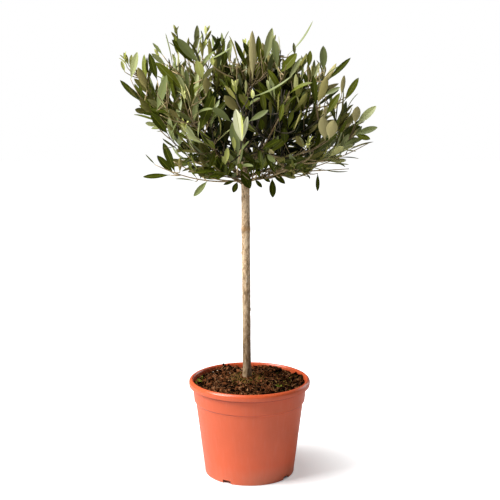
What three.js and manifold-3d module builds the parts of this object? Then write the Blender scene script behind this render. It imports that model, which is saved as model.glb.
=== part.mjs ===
// A young olive tree grown as a standard, in a round plastic pot, in millimetres with +Z up.
// The origin is the middle of the pot's flat underside. The front of the plant faces -Y.
// Each bough meets the trunk, and each leaf mass its bough, with a gap of SEAT_GAP.
import * as THREE from "three";
import { mergeVertices } from "three/addons/utils/BufferGeometryUtils.js";
import Module from "manifold-3d";

const wasm = await Module();
wasm.setup();

const SEAT_GAP = 0.3;

// Pot
const POT_HEIGHT = 152;
const RIM_RADIUS = 96;
const RIM_DROP = 10.2;
const RIM_MOUTH_RADIUS = 88.7;
const FOOT_RADIUS = 70.9;
const BAND_TOP_RADIUS = 89.8;
const BAND_FOOT_RADIUS = 87.6;
const BAND_FOOT_Z = 117.8;
const STEP_HEIGHT = 2.8;
const STEP_IN = 2.6;
const POT_WALL = 1.9;
const CENTRE_PAD_RADIUS = 52;
const FLOOR_RISE = 5.5;
const POT_SIDES = 32;
const NOTCH_WIDTH = 14;
const NOTCH_LENGTH = 14;
const NOTCH_HEIGHT = FLOOR_RISE - 0.2;
const NOTCH_TURNS = [-120, -36, 61, 144];

// Soil
const SOIL_EDGE_Z = 145.6;
const SOIL_MOUND_Z = 151.5;
const SOIL_FLAT_RADIUS = 18;
const SOIL_LUMP = 2.2;
const SOIL_RIPPLE = 0.8;
const SOIL_RINGS = [87.5, 70, 52, 34, SOIL_FLAT_RADIUS];

// Trunk
const TRUNK_FOOT = new THREE.Vector3(-4, 8, SOIL_MOUND_Z + SEAT_GAP);
const TRUNK_HEAD = new THREE.Vector3(-6.5, 0, 506);
const TRUNK_RADIUS = 6.4;
const TRUNK_HEAD_RADIUS = 4.4;
const TRUNK_HEAD_TAPER = 14;
const ROOT_FLARE = 1.1;
const ROOT_FLARE_HEIGHT = 10;
const KNOT_Z = 390;
const KNOT_SWELL = 0.5;
const KNOT_HEIGHT = 7;

// Crown: the surface that the shoots' tips reach, before their leaves
const CROWN_MIDDLE = new THREE.Vector3(0, 0, 578);
const CROWN_WIDE = 168;
const CROWN_UP = 72;
const CROWN_DOWN = 132;
const CROWN_BOXY = 2.3;
const CROWN_TILT = THREE.MathUtils.degToRad(13);
const CROWN_FLOOR_Z = 476;
const CROWN_FLOOR_RADIUS = 90;
const CROWN_FLOOR_RISE = 1.1;
const CROWN_FLOOR_LEAN = 0.5;
const GOLDEN_ANGLE = Math.PI * (3 - Math.sqrt(5));
const FIRST_TURN = THREE.MathUtils.degToRad(184);

// Boughs
const BOUGHS = 13;
const BOUGH_LOWEST_RISE = -0.6;
const BOUGH_SHARE = 0.36;
const BOUGH_BEND = 0.22;
const BOUGH_LEVEL = 0.25;
const BOUGH_CLIMB = 0.4;
const BOUGH_ROOT_RADIUS = 2.8;
const BOUGH_TIP_RADIUS = 1.7;
const BOUGH_TAPER = 0.8;
const FORK_LOW_Z = 461;
const FORK_HIGH_Z = 488;

// Leaf masses
const MASS_MIDDLE = 0.45;
const STEM_SHARE = 0.86;
const STEM_BEND = 0.5;
const STEM_TIP_RADIUS = 1.2;
const OUTER_SHOOTS = 70;
const INNER_SHOOTS = 16;
const SHOOT_LOWEST_RISE = -0.8;
const INNER_REACH = 0.6;
const TIP_REACH = 0.86;
const TIP_REACH_SPREAD = 0.22;
const SHOOT_START = 1.1;
const SHOOT_FIRST_START = 0.12;
const SHOOT_LAST_START = 0.95;
const SHOOT_AHEAD = 0.12;
const SHOOT_SAG = 0.28;
const SHOOT_DRAW_IN = 0.12;
const SHOOT_TRIES = 6;
const SHOOT_RADIUS = 1.5;
const SHOOT_TIP_RADIUS = 1.1;
const LEAF_NODES = [0.45, 0.75];
const LAST_LEAF = 0.97;
const LEAF_SHARE = 0.86;
const LEAF_SLANT = 46;
const LEAF_SLANT_FALL = 22;
const LEAF_SLANT_SPREAD = 16;
const LEAF_LIFT_LOW = 0.12;
const LEAF_LIFT_HIGH = 0.6;
const LEAF_LIFT_LOW_Z = 490;
const LEAF_LIFT_HIGH_Z = 610;
const LEAF_LIFT_SPREAD = 0.5;
const LEAF_TURN_SPREAD = 0.5;
const LEAF_ROLL_SPREAD = 1.1;
const LEAF_SIZE_LEAST = 0.85;
const LEAF_SIZE_SPREAD = 0.3;
const LEAF_LENGTH = 48;
const LEAF_WIDTH = 13;
const LEAF_THICKNESS = 1.8;
const LEAF_WIDEST = -0.15;
const LEAF_SUNK = 0.7;
const CELL_MARGIN = 0.25;
const LIMB_MARGIN = 1.2;

const X_AXIS = new THREE.Vector3(1, 0, 0);
const Y_AXIS = new THREE.Vector3(0, 1, 0);
const Z_AXIS = new THREE.Vector3(0, 0, 1);

// Each shoot, bough and leaf draws its own repeatable numbers from 0 to 1.
function seeded(seed) {
  const modulus = 2147483647;
  let state = (seed * 7919 + 104729) % modulus;
  const next = () => {
    state = (state * 48271) % modulus;
    return state / modulus;
  };
  next();
  next();
  return next;
}

function mix(a, b, share) {
  return a.clone().lerp(b, share);
}

// Makes a closed geometry into a solid that can be cut and joined.
function solidOf(geometry) {
  const plain = geometry.clone();
  plain.deleteAttribute("normal");
  plain.deleteAttribute("uv");
  const merged = mergeVertices(plain, 1e-4);
  return new wasm.Manifold(
    new wasm.Mesh({
      numProp: 3,
      vertProperties: merged.attributes.position.array,
      triVerts: new Uint32Array(merged.index.array),
    }),
  );
}

// Makes a solid's largest body into a geometry, without sealed hollows or loose scraps.
function geometryOf(solid) {
  const bodies = solid.decompose().sort((a, b) => b.volume() - a.volume());
  const mesh = bodies[0].getMesh();
  const geometry = new THREE.BufferGeometry();
  geometry.setAttribute("position", new THREE.BufferAttribute(mesh.vertProperties, 3));
  geometry.setIndex(new THREE.BufferAttribute(mesh.triVerts, 1));
  return geometry;
}

function meshOf(name, geometry, color, roughness) {
  const material = new THREE.MeshStandardMaterial({ color, roughness, metalness: 0 });
  const shaded = geometry.index ? geometry.toNonIndexed() : geometry;
  shaded.computeVertexNormals();
  const mesh = new THREE.Mesh(shaded, material);
  mesh.name = name;
  return mesh;
}

// A tapering limb: a cylinder bent along a curve, with its radius a function of the share of the way.
function limb(curve, radiusAt, sides, steps) {
  const geometry = new THREE.CylinderGeometry(1, 1, 1, sides, steps);
  const frames = curve.computeFrenetFrames(steps);
  const places = geometry.attributes.position;
  for (let i = 0; i < places.count; i += 1) {
    const step = Math.round((places.getY(i) + 0.5) * steps);
    const radius = radiusAt(step / steps);
    const place = curve
      .getPointAt(step / steps)
      .addScaledVector(frames.binormals[step], places.getX(i) * radius)
      .addScaledVector(frames.normals[step], places.getZ(i) * radius);
    places.setXYZ(i, place.x, place.y, place.z);
  }
  return geometry;
}

// A closed profile of [radius, height] pairs, turned round the upright axis.
function turned(profile, sides) {
  const points = profile.map(([radius, z]) => new THREE.Vector2(radius, z));
  return new THREE.LatheGeometry(points, sides).rotateX(Math.PI / 2);
}

function potProfile() {
  const underBand = BAND_FOOT_RADIUS - STEP_IN;
  const stepFoot = BAND_FOOT_Z - STEP_HEIGHT;
  const rimFoot = POT_HEIGHT - RIM_DROP;
  const inner = (radius) => radius - POT_WALL;
  const outside = [
    [0, 0],
    [CENTRE_PAD_RADIUS, 0],
    [CENTRE_PAD_RADIUS + 2, FLOOR_RISE],
    [FOOT_RADIUS - POT_WALL - 0.4, FLOOR_RISE],
    [FOOT_RADIUS - POT_WALL, 0],
    [FOOT_RADIUS - 0.7, 0],
    [FOOT_RADIUS, 0.8],
    [underBand, stepFoot],
    [BAND_FOOT_RADIUS, BAND_FOOT_Z],
    [BAND_TOP_RADIUS, rimFoot - 2],
    [BAND_TOP_RADIUS + 0.4, rimFoot + 4.5],
    [RIM_RADIUS - 1.9, rimFoot + 4.5],
    [RIM_RADIUS - 2.2, rimFoot],
    [RIM_RADIUS - 0.6, rimFoot],
    [RIM_RADIUS, rimFoot + 3],
    [RIM_RADIUS - 0.2, POT_HEIGHT - 3],
    [RIM_RADIUS - 1.5, POT_HEIGHT - 0.9],
    [RIM_RADIUS - 3.2, POT_HEIGHT],
  ];
  const inside = [
    [RIM_MOUTH_RADIUS + 0.6, POT_HEIGHT - 0.6],
    [RIM_MOUTH_RADIUS - 0.7, POT_HEIGHT - 2.6],
    [inner(BAND_TOP_RADIUS), rimFoot - 2],
    [inner(BAND_FOOT_RADIUS), BAND_FOOT_Z],
    [inner(underBand), stepFoot],
    [inner(FOOT_RADIUS) + 0.9, FLOOR_RISE + POT_WALL],
    [CENTRE_PAD_RADIUS + 4, FLOOR_RISE + POT_WALL],
    [CENTRE_PAD_RADIUS + 2, POT_WALL],
    [0, POT_WALL],
  ];
  return [...outside, ...inside];
}

// The pot, with a drain notch cut through its foot at each of NOTCH_TURNS.
function pot() {
  const notches = NOTCH_TURNS.map((turn) => {
    const notch = new THREE.BoxGeometry(NOTCH_LENGTH, NOTCH_WIDTH, 2 * NOTCH_HEIGHT);
    notch.translate(FOOT_RADIUS, 0, 0).rotateZ(THREE.MathUtils.degToRad(turn));
    return solidOf(notch);
  });
  const body = solidOf(turned(potProfile(), POT_SIDES));
  return geometryOf(body.subtract(wasm.Manifold.union(notches)));
}

// The soil fills the pot and rises to a mound with lumps, flat where the trunk stands.
function soil() {
  const underBand = BAND_FOOT_RADIUS - STEP_IN;
  const gap = POT_WALL + SEAT_GAP;
  const profile = [
    [0, POT_WALL + SEAT_GAP],
    [CENTRE_PAD_RADIUS + 1.4, POT_WALL + SEAT_GAP],
    [CENTRE_PAD_RADIUS + 3.4, FLOOR_RISE + gap],
    [FOOT_RADIUS - gap + 0.8, FLOOR_RISE + gap],
    [underBand - gap - 0.1, BAND_FOOT_Z - STEP_HEIGHT],
    [BAND_FOOT_RADIUS - gap - 0.1, BAND_FOOT_Z + 0.2],
    ...SOIL_RINGS.map((radius) => [radius, SOIL_EDGE_Z]),
    [0, SOIL_EDGE_Z],
  ];
  const geometry = turned(profile, POT_SIDES);
  const places = geometry.attributes.position;
  for (let i = 0; i < places.count; i += 1) {
    const [x, y, z] = [places.getX(i), places.getY(i), places.getZ(i)];
    const radius = Math.hypot(x, y);
    if (z < SOIL_EDGE_Z - 0.1) continue;
    const outward = Math.max(0, (radius - SOIL_FLAT_RADIUS) / (SOIL_RINGS[0] - SOIL_FLAT_RADIUS));
    const ripple = SOIL_RIPPLE * Math.sin(x / 3.7 - y / 4.3);
    const lump = SOIL_LUMP * Math.sin(x / 9 + 2) * Math.cos(y / 7 - 1) + ripple;
    const within = Math.min(1, 4 * outward) * Math.min(1, 6 * (1 - outward));
    const mound = (SOIL_MOUND_Z - SOIL_EDGE_Z) * (1 - outward ** 1.5);
    places.setZ(i, SOIL_EDGE_Z + mound + lump * within);
  }
  return geometry;
}

function trunkRadius(share) {
  const z = TRUNK_FOOT.z + share * (TRUNK_HEAD.z - TRUNK_FOOT.z);
  const flare = ROOT_FLARE * Math.exp(-(z - TRUNK_FOOT.z) / ROOT_FLARE_HEIGHT);
  const knot = KNOT_SWELL * Math.exp(-(((z - KNOT_Z) / KNOT_HEIGHT) ** 2));
  const head = THREE.MathUtils.smoothstep(z, TRUNK_HEAD.z - TRUNK_HEAD_TAPER, TRUNK_HEAD.z);
  return THREE.MathUtils.lerp(TRUNK_RADIUS + flare + knot, TRUNK_HEAD_RADIUS, head);
}

function trunkAt(z) {
  return mix(TRUNK_FOOT, TRUNK_HEAD, (z - TRUNK_FOOT.z) / (TRUNK_HEAD.z - TRUNK_FOOT.z));
}

function trunk(grown = 0) {
  const head = TRUNK_HEAD.clone().addScaledVector(Z_AXIS, grown);
  const curve = new THREE.LineCurve3(TRUNK_FOOT, head);
  const body = limb(curve, (share) => trunkRadius(share) + grown, 10, 20);
  return grown ? solidOf(body) : body;
}

// Direction k of count, spread evenly round the crown from its lowest rise to its top.
function spread(k, count, lowest) {
  const rise = lowest + ((1 - lowest) * (k + 0.5)) / count;
  const turn = FIRST_TURN + k * GOLDEN_ANGLE;
  const flat = Math.sqrt(1 - rise * rise);
  return new THREE.Vector3(flat * Math.cos(turn), flat * Math.sin(turn), rise);
}

// The point of the crown's surface in a direction from its middle, at a share of its reach.
function shell(direction, reach) {
  const flat = Math.hypot(direction.x, direction.y) / CROWN_WIDE;
  const rise = Math.abs(direction.z) / (direction.z > 0 ? CROWN_UP : CROWN_DOWN);
  const length = reach * (flat ** CROWN_BOXY + rise ** CROWN_BOXY) ** (-1 / CROWN_BOXY);
  const place = direction.clone().multiplyScalar(length);
  place.applyAxisAngle(Y_AXIS, CROWN_TILT).add(CROWN_MIDDLE);
  const radius = Math.hypot(place.x, place.y);
  const rising = CROWN_FLOOR_RISE - (CROWN_FLOOR_LEAN * place.x) / Math.max(1, radius);
  place.z = Math.max(place.z, CROWN_FLOOR_Z + rising * Math.max(0, radius - CROWN_FLOOR_RADIUS));
  return place;
}

// A bough's curve from the trunk's middle to its tip, and the stem that carries on from it.
function boughPlan(k) {
  const direction = spread(k, BOUGHS, BOUGH_LOWEST_RISE);
  const forkZ = THREE.MathUtils.lerp(FORK_LOW_Z, FORK_HIGH_Z, k / (BOUGHS - 2));
  const fork = k === BOUGHS - 1 ? TRUNK_HEAD : trunkAt(forkZ);
  const end = shell(direction, 1);
  const climb = BOUGH_LEVEL + BOUGH_CLIMB * Math.max(0, direction.z);
  const outward = new THREE.Vector3(direction.x, direction.y, climb).normalize();
  const bend = fork.clone().addScaledVector(outward, BOUGH_BEND * fork.distanceTo(end));
  const whole = new THREE.QuadraticBezierCurve3(fork, bend, end);
  const tip = whole.getPoint(BOUGH_SHARE);
  const ahead = whole.getTangent(BOUGH_SHARE);
  return {
    curve: new THREE.QuadraticBezierCurve3(fork, mix(fork, bend, BOUGH_SHARE), tip),
    tip,
    ahead,
    stemFoot: tip.clone().addScaledVector(ahead, SEAT_GAP),
    stemTip: whole.getPoint(STEM_SHARE),
    middle: mix(tip, end, MASS_MIDDLE),
  };
}

const plans = Array.from({ length: BOUGHS }, (_, k) => boughPlan(k));

function boughRadius(share) {
  return THREE.MathUtils.lerp(BOUGH_ROOT_RADIUS, BOUGH_TIP_RADIUS, share ** BOUGH_TAPER);
}

// A bough is cut clear of the trunk.
function bough(k) {
  const body = solidOf(limb(plans[k].curve, boughRadius, 6, 5));
  return geometryOf(body.subtract(trunk(SEAT_GAP)));
}

// Points along every limb with the limb's radius there, for keeping twigs and leaves off them.
const limbPoints = [];
for (let z = FORK_LOW_Z - 40; z <= TRUNK_HEAD.z; z += 3) {
  limbPoints.push({ place: trunkAt(z), radius: TRUNK_RADIUS });
}
for (const plan of plans) {
  for (let step = 0; step <= 30; step += 1) {
    limbPoints.push({ place: plan.curve.getPoint(step / 30), radius: boughRadius(step / 30) });
  }
}

function clearOfLimbs(place, room) {
  return limbPoints.every((limbPoint) => {
    return place.distanceTo(limbPoint.place) > limbPoint.radius + room + LIMB_MARGIN;
  });
}

// A place is in mass k's own space if it is nearer to that mass's middle than to any other's.
function inSpace(k, place) {
  const own = plans[k].middle;
  return plans.every((plan, j) => {
    if (j === k) return true;
    const apart = own.distanceTo(plan.middle);
    const lead = place.distanceToSquared(plan.middle) - place.distanceToSquared(own);
    return lead / (2 * apart) > CELL_MARGIN;
  });
}

function keepsToSpace(k, geometry) {
  const places = geometry.attributes.position;
  const place = new THREE.Vector3();
  for (let i = 0; i < places.count; i += 1) {
    if (!inSpace(k, place.fromBufferAttribute(places, i))) return false;
  }
  return true;
}

function nearestMass(place) {
  const distances = plans.map((plan) => plan.middle.distanceTo(place));
  return distances.indexOf(Math.min(...distances));
}

// The stem of mass k, straight on from its bough.
function stemCurve(k) {
  const { stemFoot, stemTip, ahead } = plans[k];
  const bend = stemFoot.clone().addScaledVector(ahead, STEM_BEND * stemFoot.distanceTo(stemTip));
  return new THREE.QuadraticBezierCurve3(stemFoot, bend, stemTip);
}

// A shoot leaves its mass's stem at a slant and turns up towards its tip.
function shootCurve(k, tip) {
  const stem = stemCurve(k);
  const foot = stem.getPoint(0);
  const run = stem.getPoint(1).sub(foot);
  const length = run.length();
  run.divideScalar(length);
  const offset = tip.clone().sub(foot);
  const along = offset.dot(run);
  const aside = offset.addScaledVector(run, -along).length();
  const share = (along - SHOOT_START * aside) / length;
  const start = stem.getPoint(THREE.MathUtils.clamp(share, SHOOT_FIRST_START, SHOOT_LAST_START));
  const reach = start.distanceTo(tip);
  const bend = mix(start, tip, 0.5).addScaledVector(run, SHOOT_AHEAD * reach);
  bend.addScaledVector(Z_AXIS, -SHOOT_SAG * reach);
  return new THREE.QuadraticBezierCurve3(start, bend, tip);
}

// Every shoot of the crown: its own number, its mass and its tip.
function shootPlans() {
  const shoots = [];
  const layers = [
    { count: OUTER_SHOOTS, reach: 1 },
    { count: INNER_SHOOTS, reach: INNER_REACH },
  ];
  for (const layer of layers) {
    for (let i = 0; i < layer.count; i += 1) {
      const number = shoots.length;
      const random = seeded(number + 1);
      const direction = spread(i, layer.count, SHOOT_LOWEST_RISE);
      const tip = shell(direction, layer.reach * (TIP_REACH + TIP_REACH_SPREAD * random()));
      shoots.push({ number, mass: nearestMass(tip), tip });
    }
  }
  return shoots;
}

// A leaf's place: its root on the shoot, the way it points and the way its upper side faces.
function leafPlace(curve, share, turn, random) {
  const root = curve.getPoint(share);
  const ahead = curve.getTangent(share);
  const side = new THREE.Vector3().crossVectors(ahead, Z_AXIS);
  if (side.length() < 0.1) side.crossVectors(ahead, X_AXIS);
  side.normalize().applyAxisAngle(ahead, turn + LEAF_TURN_SPREAD * (random() - 0.5));
  const degrees = LEAF_SLANT - LEAF_SLANT_FALL * share + LEAF_SLANT_SPREAD * (random() - 0.5);
  const slant = THREE.MathUtils.degToRad(degrees);
  const along = ahead.clone().multiplyScalar(Math.cos(slant)).addScaledVector(side, Math.sin(slant));
  const raised = THREE.MathUtils.smoothstep(root.z, LEAF_LIFT_LOW_Z, LEAF_LIFT_HIGH_Z);
  const lift = THREE.MathUtils.lerp(LEAF_LIFT_LOW, LEAF_LIFT_HIGH, raised);
  along.addScaledVector(Z_AXIS, lift + LEAF_LIFT_SPREAD * (random() - 0.5)).normalize();
  const face = ahead.clone().addScaledVector(along, -ahead.dot(along)).normalize();
  face.applyAxisAngle(along, LEAF_ROLL_SPREAD * (random() - 0.5));
  return { root, along, face };
}

// One leaf: a long six-faced blade, flat above and with a keel below, with its root in the shoot.
function leaf(place, size) {
  const { root, along, face } = place;
  const blade = new THREE.SphereGeometry(1, 3, 2);
  const places = blade.attributes.position;
  for (let i = 0; i < places.count; i += 1) {
    if (Math.abs(places.getY(i)) < 0.5) places.setY(i, LEAF_WIDEST);
  }
  const reach = (LEAF_LENGTH * size) / 2;
  blade.scale(LEAF_THICKNESS / 1.5, reach, (LEAF_WIDTH * size) / Math.sqrt(3));
  blade.translate(0, reach - LEAF_SUNK, 0);
  const across = new THREE.Vector3().crossVectors(face, along);
  return blade.applyMatrix4(new THREE.Matrix4().makeBasis(face, along, across).setPosition(root));
}

function leafClears(place, size) {
  const middle = place.root.clone();
  for (let step = 1; step <= 8; step += 1) {
    middle.addScaledVector(place.along, (LEAF_LENGTH * size) / 8);
    const room = (LEAF_WIDTH * size * (1 - Math.abs(step / 4 - 1))) / 2;
    if (!clearOfLimbs(middle, room)) return false;
  }
  return true;
}

function curveClears(curve) {
  for (let step = 1; step <= 10; step += 1) {
    if (!clearOfLimbs(curve.getPoint(step / 10), SHOOT_RADIUS)) return false;
  }
  return true;
}

// The leaves of one shoot: crossed pairs, then one at the tip, left out where they would not fit.
function leavesOn(curve, shoot, k) {
  const random = seeded(1000 + shoot.number);
  const leaves = [];
  const firstTurn = Math.PI * random();
  const spots = LEAF_NODES.flatMap((share, node) => [
    [share, firstTurn + (node * Math.PI) / 2],
    [share, firstTurn + (node * Math.PI) / 2 + Math.PI],
  ]);
  spots.push([LAST_LEAF, firstTurn]);
  for (const [share, turn] of spots) {
    if (random() > LEAF_SHARE) continue;
    const place = leafPlace(curve, share, turn, random);
    const size = LEAF_SIZE_LEAST + LEAF_SIZE_SPREAD * random();
    const blade = leaf(place, size);
    if (keepsToSpace(k, blade) && leafClears(place, size)) leaves.push(blade);
  }
  return leaves;
}

// A shoot as solids. Its tip is drawn in, a little at a time, until it keeps to its mass's space.
function shootSolids(shoot, k) {
  const shootRadius = (share) => THREE.MathUtils.lerp(SHOOT_RADIUS, SHOOT_TIP_RADIUS, share);
  for (let tries = 0; tries < SHOOT_TRIES; tries += 1) {
    const tip = mix(shoot.tip, plans[k].stemTip, SHOOT_DRAW_IN * tries);
    const curve = shootCurve(k, tip);
    const twig = limb(curve, shootRadius, 3, 2);
    if (keepsToSpace(k, twig) && curveClears(curve)) {
      return [twig, ...leavesOn(curve, shoot, k)].map(solidOf);
    }
  }
  return [];
}

// One leaf mass: a stem with shoots and leaves, all joined into one body.
function leafMass(k, shoots) {
  const stemRadius = (share) => THREE.MathUtils.lerp(BOUGH_TIP_RADIUS - 0.1, STEM_TIP_RADIUS, share);
  const parts = [solidOf(limb(stemCurve(k), stemRadius, 5, 4))];
  for (const shoot of shoots) {
    if (shoot.mass === k) parts.push(...shootSolids(shoot, k));
  }
  return geometryOf(wasm.Manifold.union(parts));
}

const tree = new THREE.Group();
tree.add(meshOf("pot", pot(), 0xd9694a, 0.45));
tree.add(meshOf("soil", soil(), 0x3a2a20, 0.95));
tree.add(meshOf("trunk", trunk(), 0x8a7a5f, 0.85));

const shoots = shootPlans();
for (let k = 0; k < BOUGHS; k += 1) {
  const number = String(k + 1).padStart(2, "0");
  tree.add(meshOf(`bough_${number}`, bough(k), 0x9c8a6c, 0.8));
  tree.add(meshOf(`leaf_mass_${number}`, leafMass(k, shoots), 0x4f5f3a, 0.55));
}

export default tree;
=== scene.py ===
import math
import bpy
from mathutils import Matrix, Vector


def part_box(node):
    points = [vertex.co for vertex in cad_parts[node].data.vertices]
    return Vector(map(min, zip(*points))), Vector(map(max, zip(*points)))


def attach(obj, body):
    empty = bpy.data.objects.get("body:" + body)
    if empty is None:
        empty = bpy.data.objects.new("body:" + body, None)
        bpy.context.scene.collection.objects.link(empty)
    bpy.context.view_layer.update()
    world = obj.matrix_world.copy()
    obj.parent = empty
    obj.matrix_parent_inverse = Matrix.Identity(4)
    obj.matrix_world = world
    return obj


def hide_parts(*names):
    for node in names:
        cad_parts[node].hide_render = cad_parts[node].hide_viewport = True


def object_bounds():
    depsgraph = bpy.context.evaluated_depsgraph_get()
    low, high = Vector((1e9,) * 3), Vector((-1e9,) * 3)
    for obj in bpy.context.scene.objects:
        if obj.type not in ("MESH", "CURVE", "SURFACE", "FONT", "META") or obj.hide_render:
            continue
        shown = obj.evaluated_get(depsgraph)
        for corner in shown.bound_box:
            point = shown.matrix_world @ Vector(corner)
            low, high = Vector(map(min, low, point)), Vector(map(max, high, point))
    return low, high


bl_info = {
    "name": "Potted Standard Olive",
    "version": (1, 0, 0),
    "blender": (4, 5, 0),
    "location": "3D View > Sidebar > Olive",
    "description": "Dresses a potted olive tree: pot, soil, bark, twigs, leaves and a plain studio",
    "category": "Add Mesh",
}

import bmesh
import bpy
import numpy as np
from bpy.props import FloatProperty, FloatVectorProperty, IntProperty, PointerProperty
from mathutils import Matrix, Quaternion, Vector, noise

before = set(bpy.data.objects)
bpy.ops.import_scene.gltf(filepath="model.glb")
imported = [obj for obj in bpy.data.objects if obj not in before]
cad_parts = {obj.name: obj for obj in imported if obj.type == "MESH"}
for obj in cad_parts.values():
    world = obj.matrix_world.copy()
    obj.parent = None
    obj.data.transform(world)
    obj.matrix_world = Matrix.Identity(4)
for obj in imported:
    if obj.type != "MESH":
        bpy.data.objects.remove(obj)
CAD_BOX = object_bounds()

MM = 0.001

# Pot, in millimetres
POT_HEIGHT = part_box("pot")[1].z / MM
RIM_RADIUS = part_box("pot")[1].x / MM
RIM_DROP = 10.2
FOOT_RADIUS = 70.9
BAND_TOP_RADIUS = 89.8
BAND_FOOT_RADIUS = 87.6
BAND_FOOT_Z = 117.8
STEP_HEIGHT = 2.8
STEP_IN = 2.6
POT_WALL = 1.9
CENTRE_PAD_RADIUS = 52
FLOOR_RISE = 5.5
NOTCH_WIDTH = 14
NOTCH_LENGTH = 14
NOTCH_HEIGHT = FLOOR_RISE - 0.2
NOTCH_ROUNDING = 1.6
NOTCH_TURNS = (-120, -36, 61, 144)

# Soil
SOIL_EDGE_Z = 145.6
SOIL_MOUND_Z = 151.5
SOIL_FLAT_RADIUS = 18
SOIL_RADIUS = 87.2

# Trunk
TRUNK_FOOT = Vector((-4, 8, 151.8))
TRUNK_HEAD = Vector((-6.5, 0, 506))
TRUNK_RADIUS = 6.4
TRUNK_HEAD_RADIUS = 4.4
TRUNK_HEAD_TAPER = 14
ROOT_FLARE = 1.1
ROOT_FLARE_HEIGHT = 10
KNOT_Z = 390
KNOT_SWELL = 0.5
KNOT_HEIGHT = 7

# Crown: the surface that the shoots' tips reach, before their leaves
CROWN_MIDDLE = Vector((0, 0, 578))
CROWN_WIDE = 168
CROWN_UP = 72
CROWN_DOWN = 132
CROWN_BOXY = 2.3
CROWN_TILT = math.radians(13)
CROWN_FLOOR_Z = 476
CROWN_FLOOR_RADIUS = 90
CROWN_FLOOR_RISE = 1.1
CROWN_FLOOR_LEAN = 0.5
GOLDEN_ANGLE = math.pi * (3 - math.sqrt(5))
FIRST_TURN = math.radians(184)

# Boughs and shoots
SEAT_GAP = 0.3
BOUGHS = 13
BOUGH_LOWEST_RISE = -0.6
BOUGH_SHARE = 0.36
BOUGH_BEND = 0.22
BOUGH_LEVEL = 0.25
BOUGH_CLIMB = 0.4
BOUGH_ROOT_RADIUS = 2.8
BOUGH_TIP_RADIUS = 1.7
BOUGH_TAPER = 0.8
FORK_LOW_Z = 461
FORK_HIGH_Z = 488
MASS_MIDDLE = 0.45
STEM_SHARE = 0.86
STEM_BEND = 0.5
STEM_TIP_RADIUS = 1.2
OUTER_SHOOTS = 70
INNER_SHOOTS = 16
SHOOT_LOWEST_RISE = -0.8
INNER_REACH = 0.6
TIP_REACH = 0.86
TIP_REACH_SPREAD = 0.22
SHOOT_START = 1.1
SHOOT_FIRST_START = 0.12
SHOOT_LAST_START = 0.95
SHOOT_AHEAD = 0.12
SHOOT_DRAW_IN = 0.12
SHOOT_TRIES = 6
SHOOT_RADIUS = 1.2
SHOOT_TIP_RADIUS = 0.55
CELL_MARGIN = 0.25
LIMB_MARGIN = 1.2
SHOOT_SAG = 0.28

# How leaves lie: slants in degrees, other turns in radians, lifts as shares, heights in millimetres
LEAF_SLANT = 46
LEAF_SLANT_FALL = 22
LEAF_SLANT_SPREAD = 16
LEAF_TURN_SPREAD = 0.5
LEAF_ROLL_SPREAD = 1.1
LEAF_LIFT_LOW = 0.12
LEAF_LIFT_HIGH = 0.6
LEAF_LIFT_LOW_Z = 490
LEAF_LIFT_HIGH_Z = 610
LEAF_LIFT_SPREAD = 0.5

# A leaf's form: bow and twist in radians, fold in degrees, and sway as a share of its length
LEAF_BOW = (-0.3, 0.75)
LEAF_FOLD = (5, 20)
LEAF_TWIST = 0.7
LEAF_SWAY = 0.16

# The least and greatest share of the usual leaf length, and of a leaf's length that is its width
LEAF_LENGTHS = (0.78, 1.2)
LEAF_WIDTHS = (0.165, 0.25)

# Leaves hang no lower than this at the crown's middle, and the limit rises with the distance
LEAF_FLOOR_Z = 453
LEAF_FLOOR_RISE = 0.24

# The middle lines of leaves that the rule places stay within this distance of the part's box
BOX_ROOM = 6

# The number of the first shoot of each kind that the part's source doesn't have
FIRST_SHOOT = {"leader": 200, "inner": 300, "long": 400, "low": 450, "tuft": 500, "lone": 600}

# Seeds of the random draws. Those of shoots and boughs are added to their numbers
SEEDS = {
    "crumbs": 40,
    "fibres": 41,
    "seedlings": 42,
    "bough": 700,
    "shoot": 1000,
    "young": 5000,
    "young_tuft": 6000,
    "lone": 9000,
}

X_AXIS = Vector((1, 0, 0))
Y_AXIS = Vector((0, 1, 0))
Z_AXIS = Vector((0, 0, 1))

MASSES = [f"leaf_mass_{k + 1:02d}" for k in range(BOUGHS)]


def lerp(a, b, share):
    """The number that lies a share of the way from a to b."""
    return a + (b - a) * share


def smoothstep(value, low, high):
    """0 below low, 1 above high and a smooth rise between."""
    share = min(1, max(0, (value - low) / (high - low)))
    return share * share * (3 - 2 * share)


def seeded(seed):
    """A function that draws repeatable numbers from 0 to 1, as the part's source does."""
    state = (seed * 7919 + 104729) % 2147483647

    def draw():
        nonlocal state
        state = state * 48271 % 2147483647
        return state / 2147483647

    draw()
    draw()
    return draw


def ranged(span, draw):
    """A random number: a span's first number, and at most its second one more."""
    least, more = span
    return least + more * draw()


class Signal:
    """A shader socket on which Python's operators build Math nodes."""

    def __init__(self, paint, socket):
        self.paint = paint
        self.socket = socket

    def maths(self, operation, *values):
        """A Math node with this signal and another value, in their order."""
        inputs = dict(enumerate(values))
        return self.paint.node("Math", {"operation": operation}, inputs)

    def __add__(self, other):
        return self.maths("ADD", self, other)

    def __radd__(self, other):
        return self.maths("ADD", other, self)

    def __sub__(self, other):
        return self.maths("SUBTRACT", self, other)

    def __rsub__(self, other):
        return self.maths("SUBTRACT", other, self)

    def __mul__(self, other):
        return self.maths("MULTIPLY", self, other)

    def __rmul__(self, other):
        return self.maths("MULTIPLY", other, self)


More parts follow.
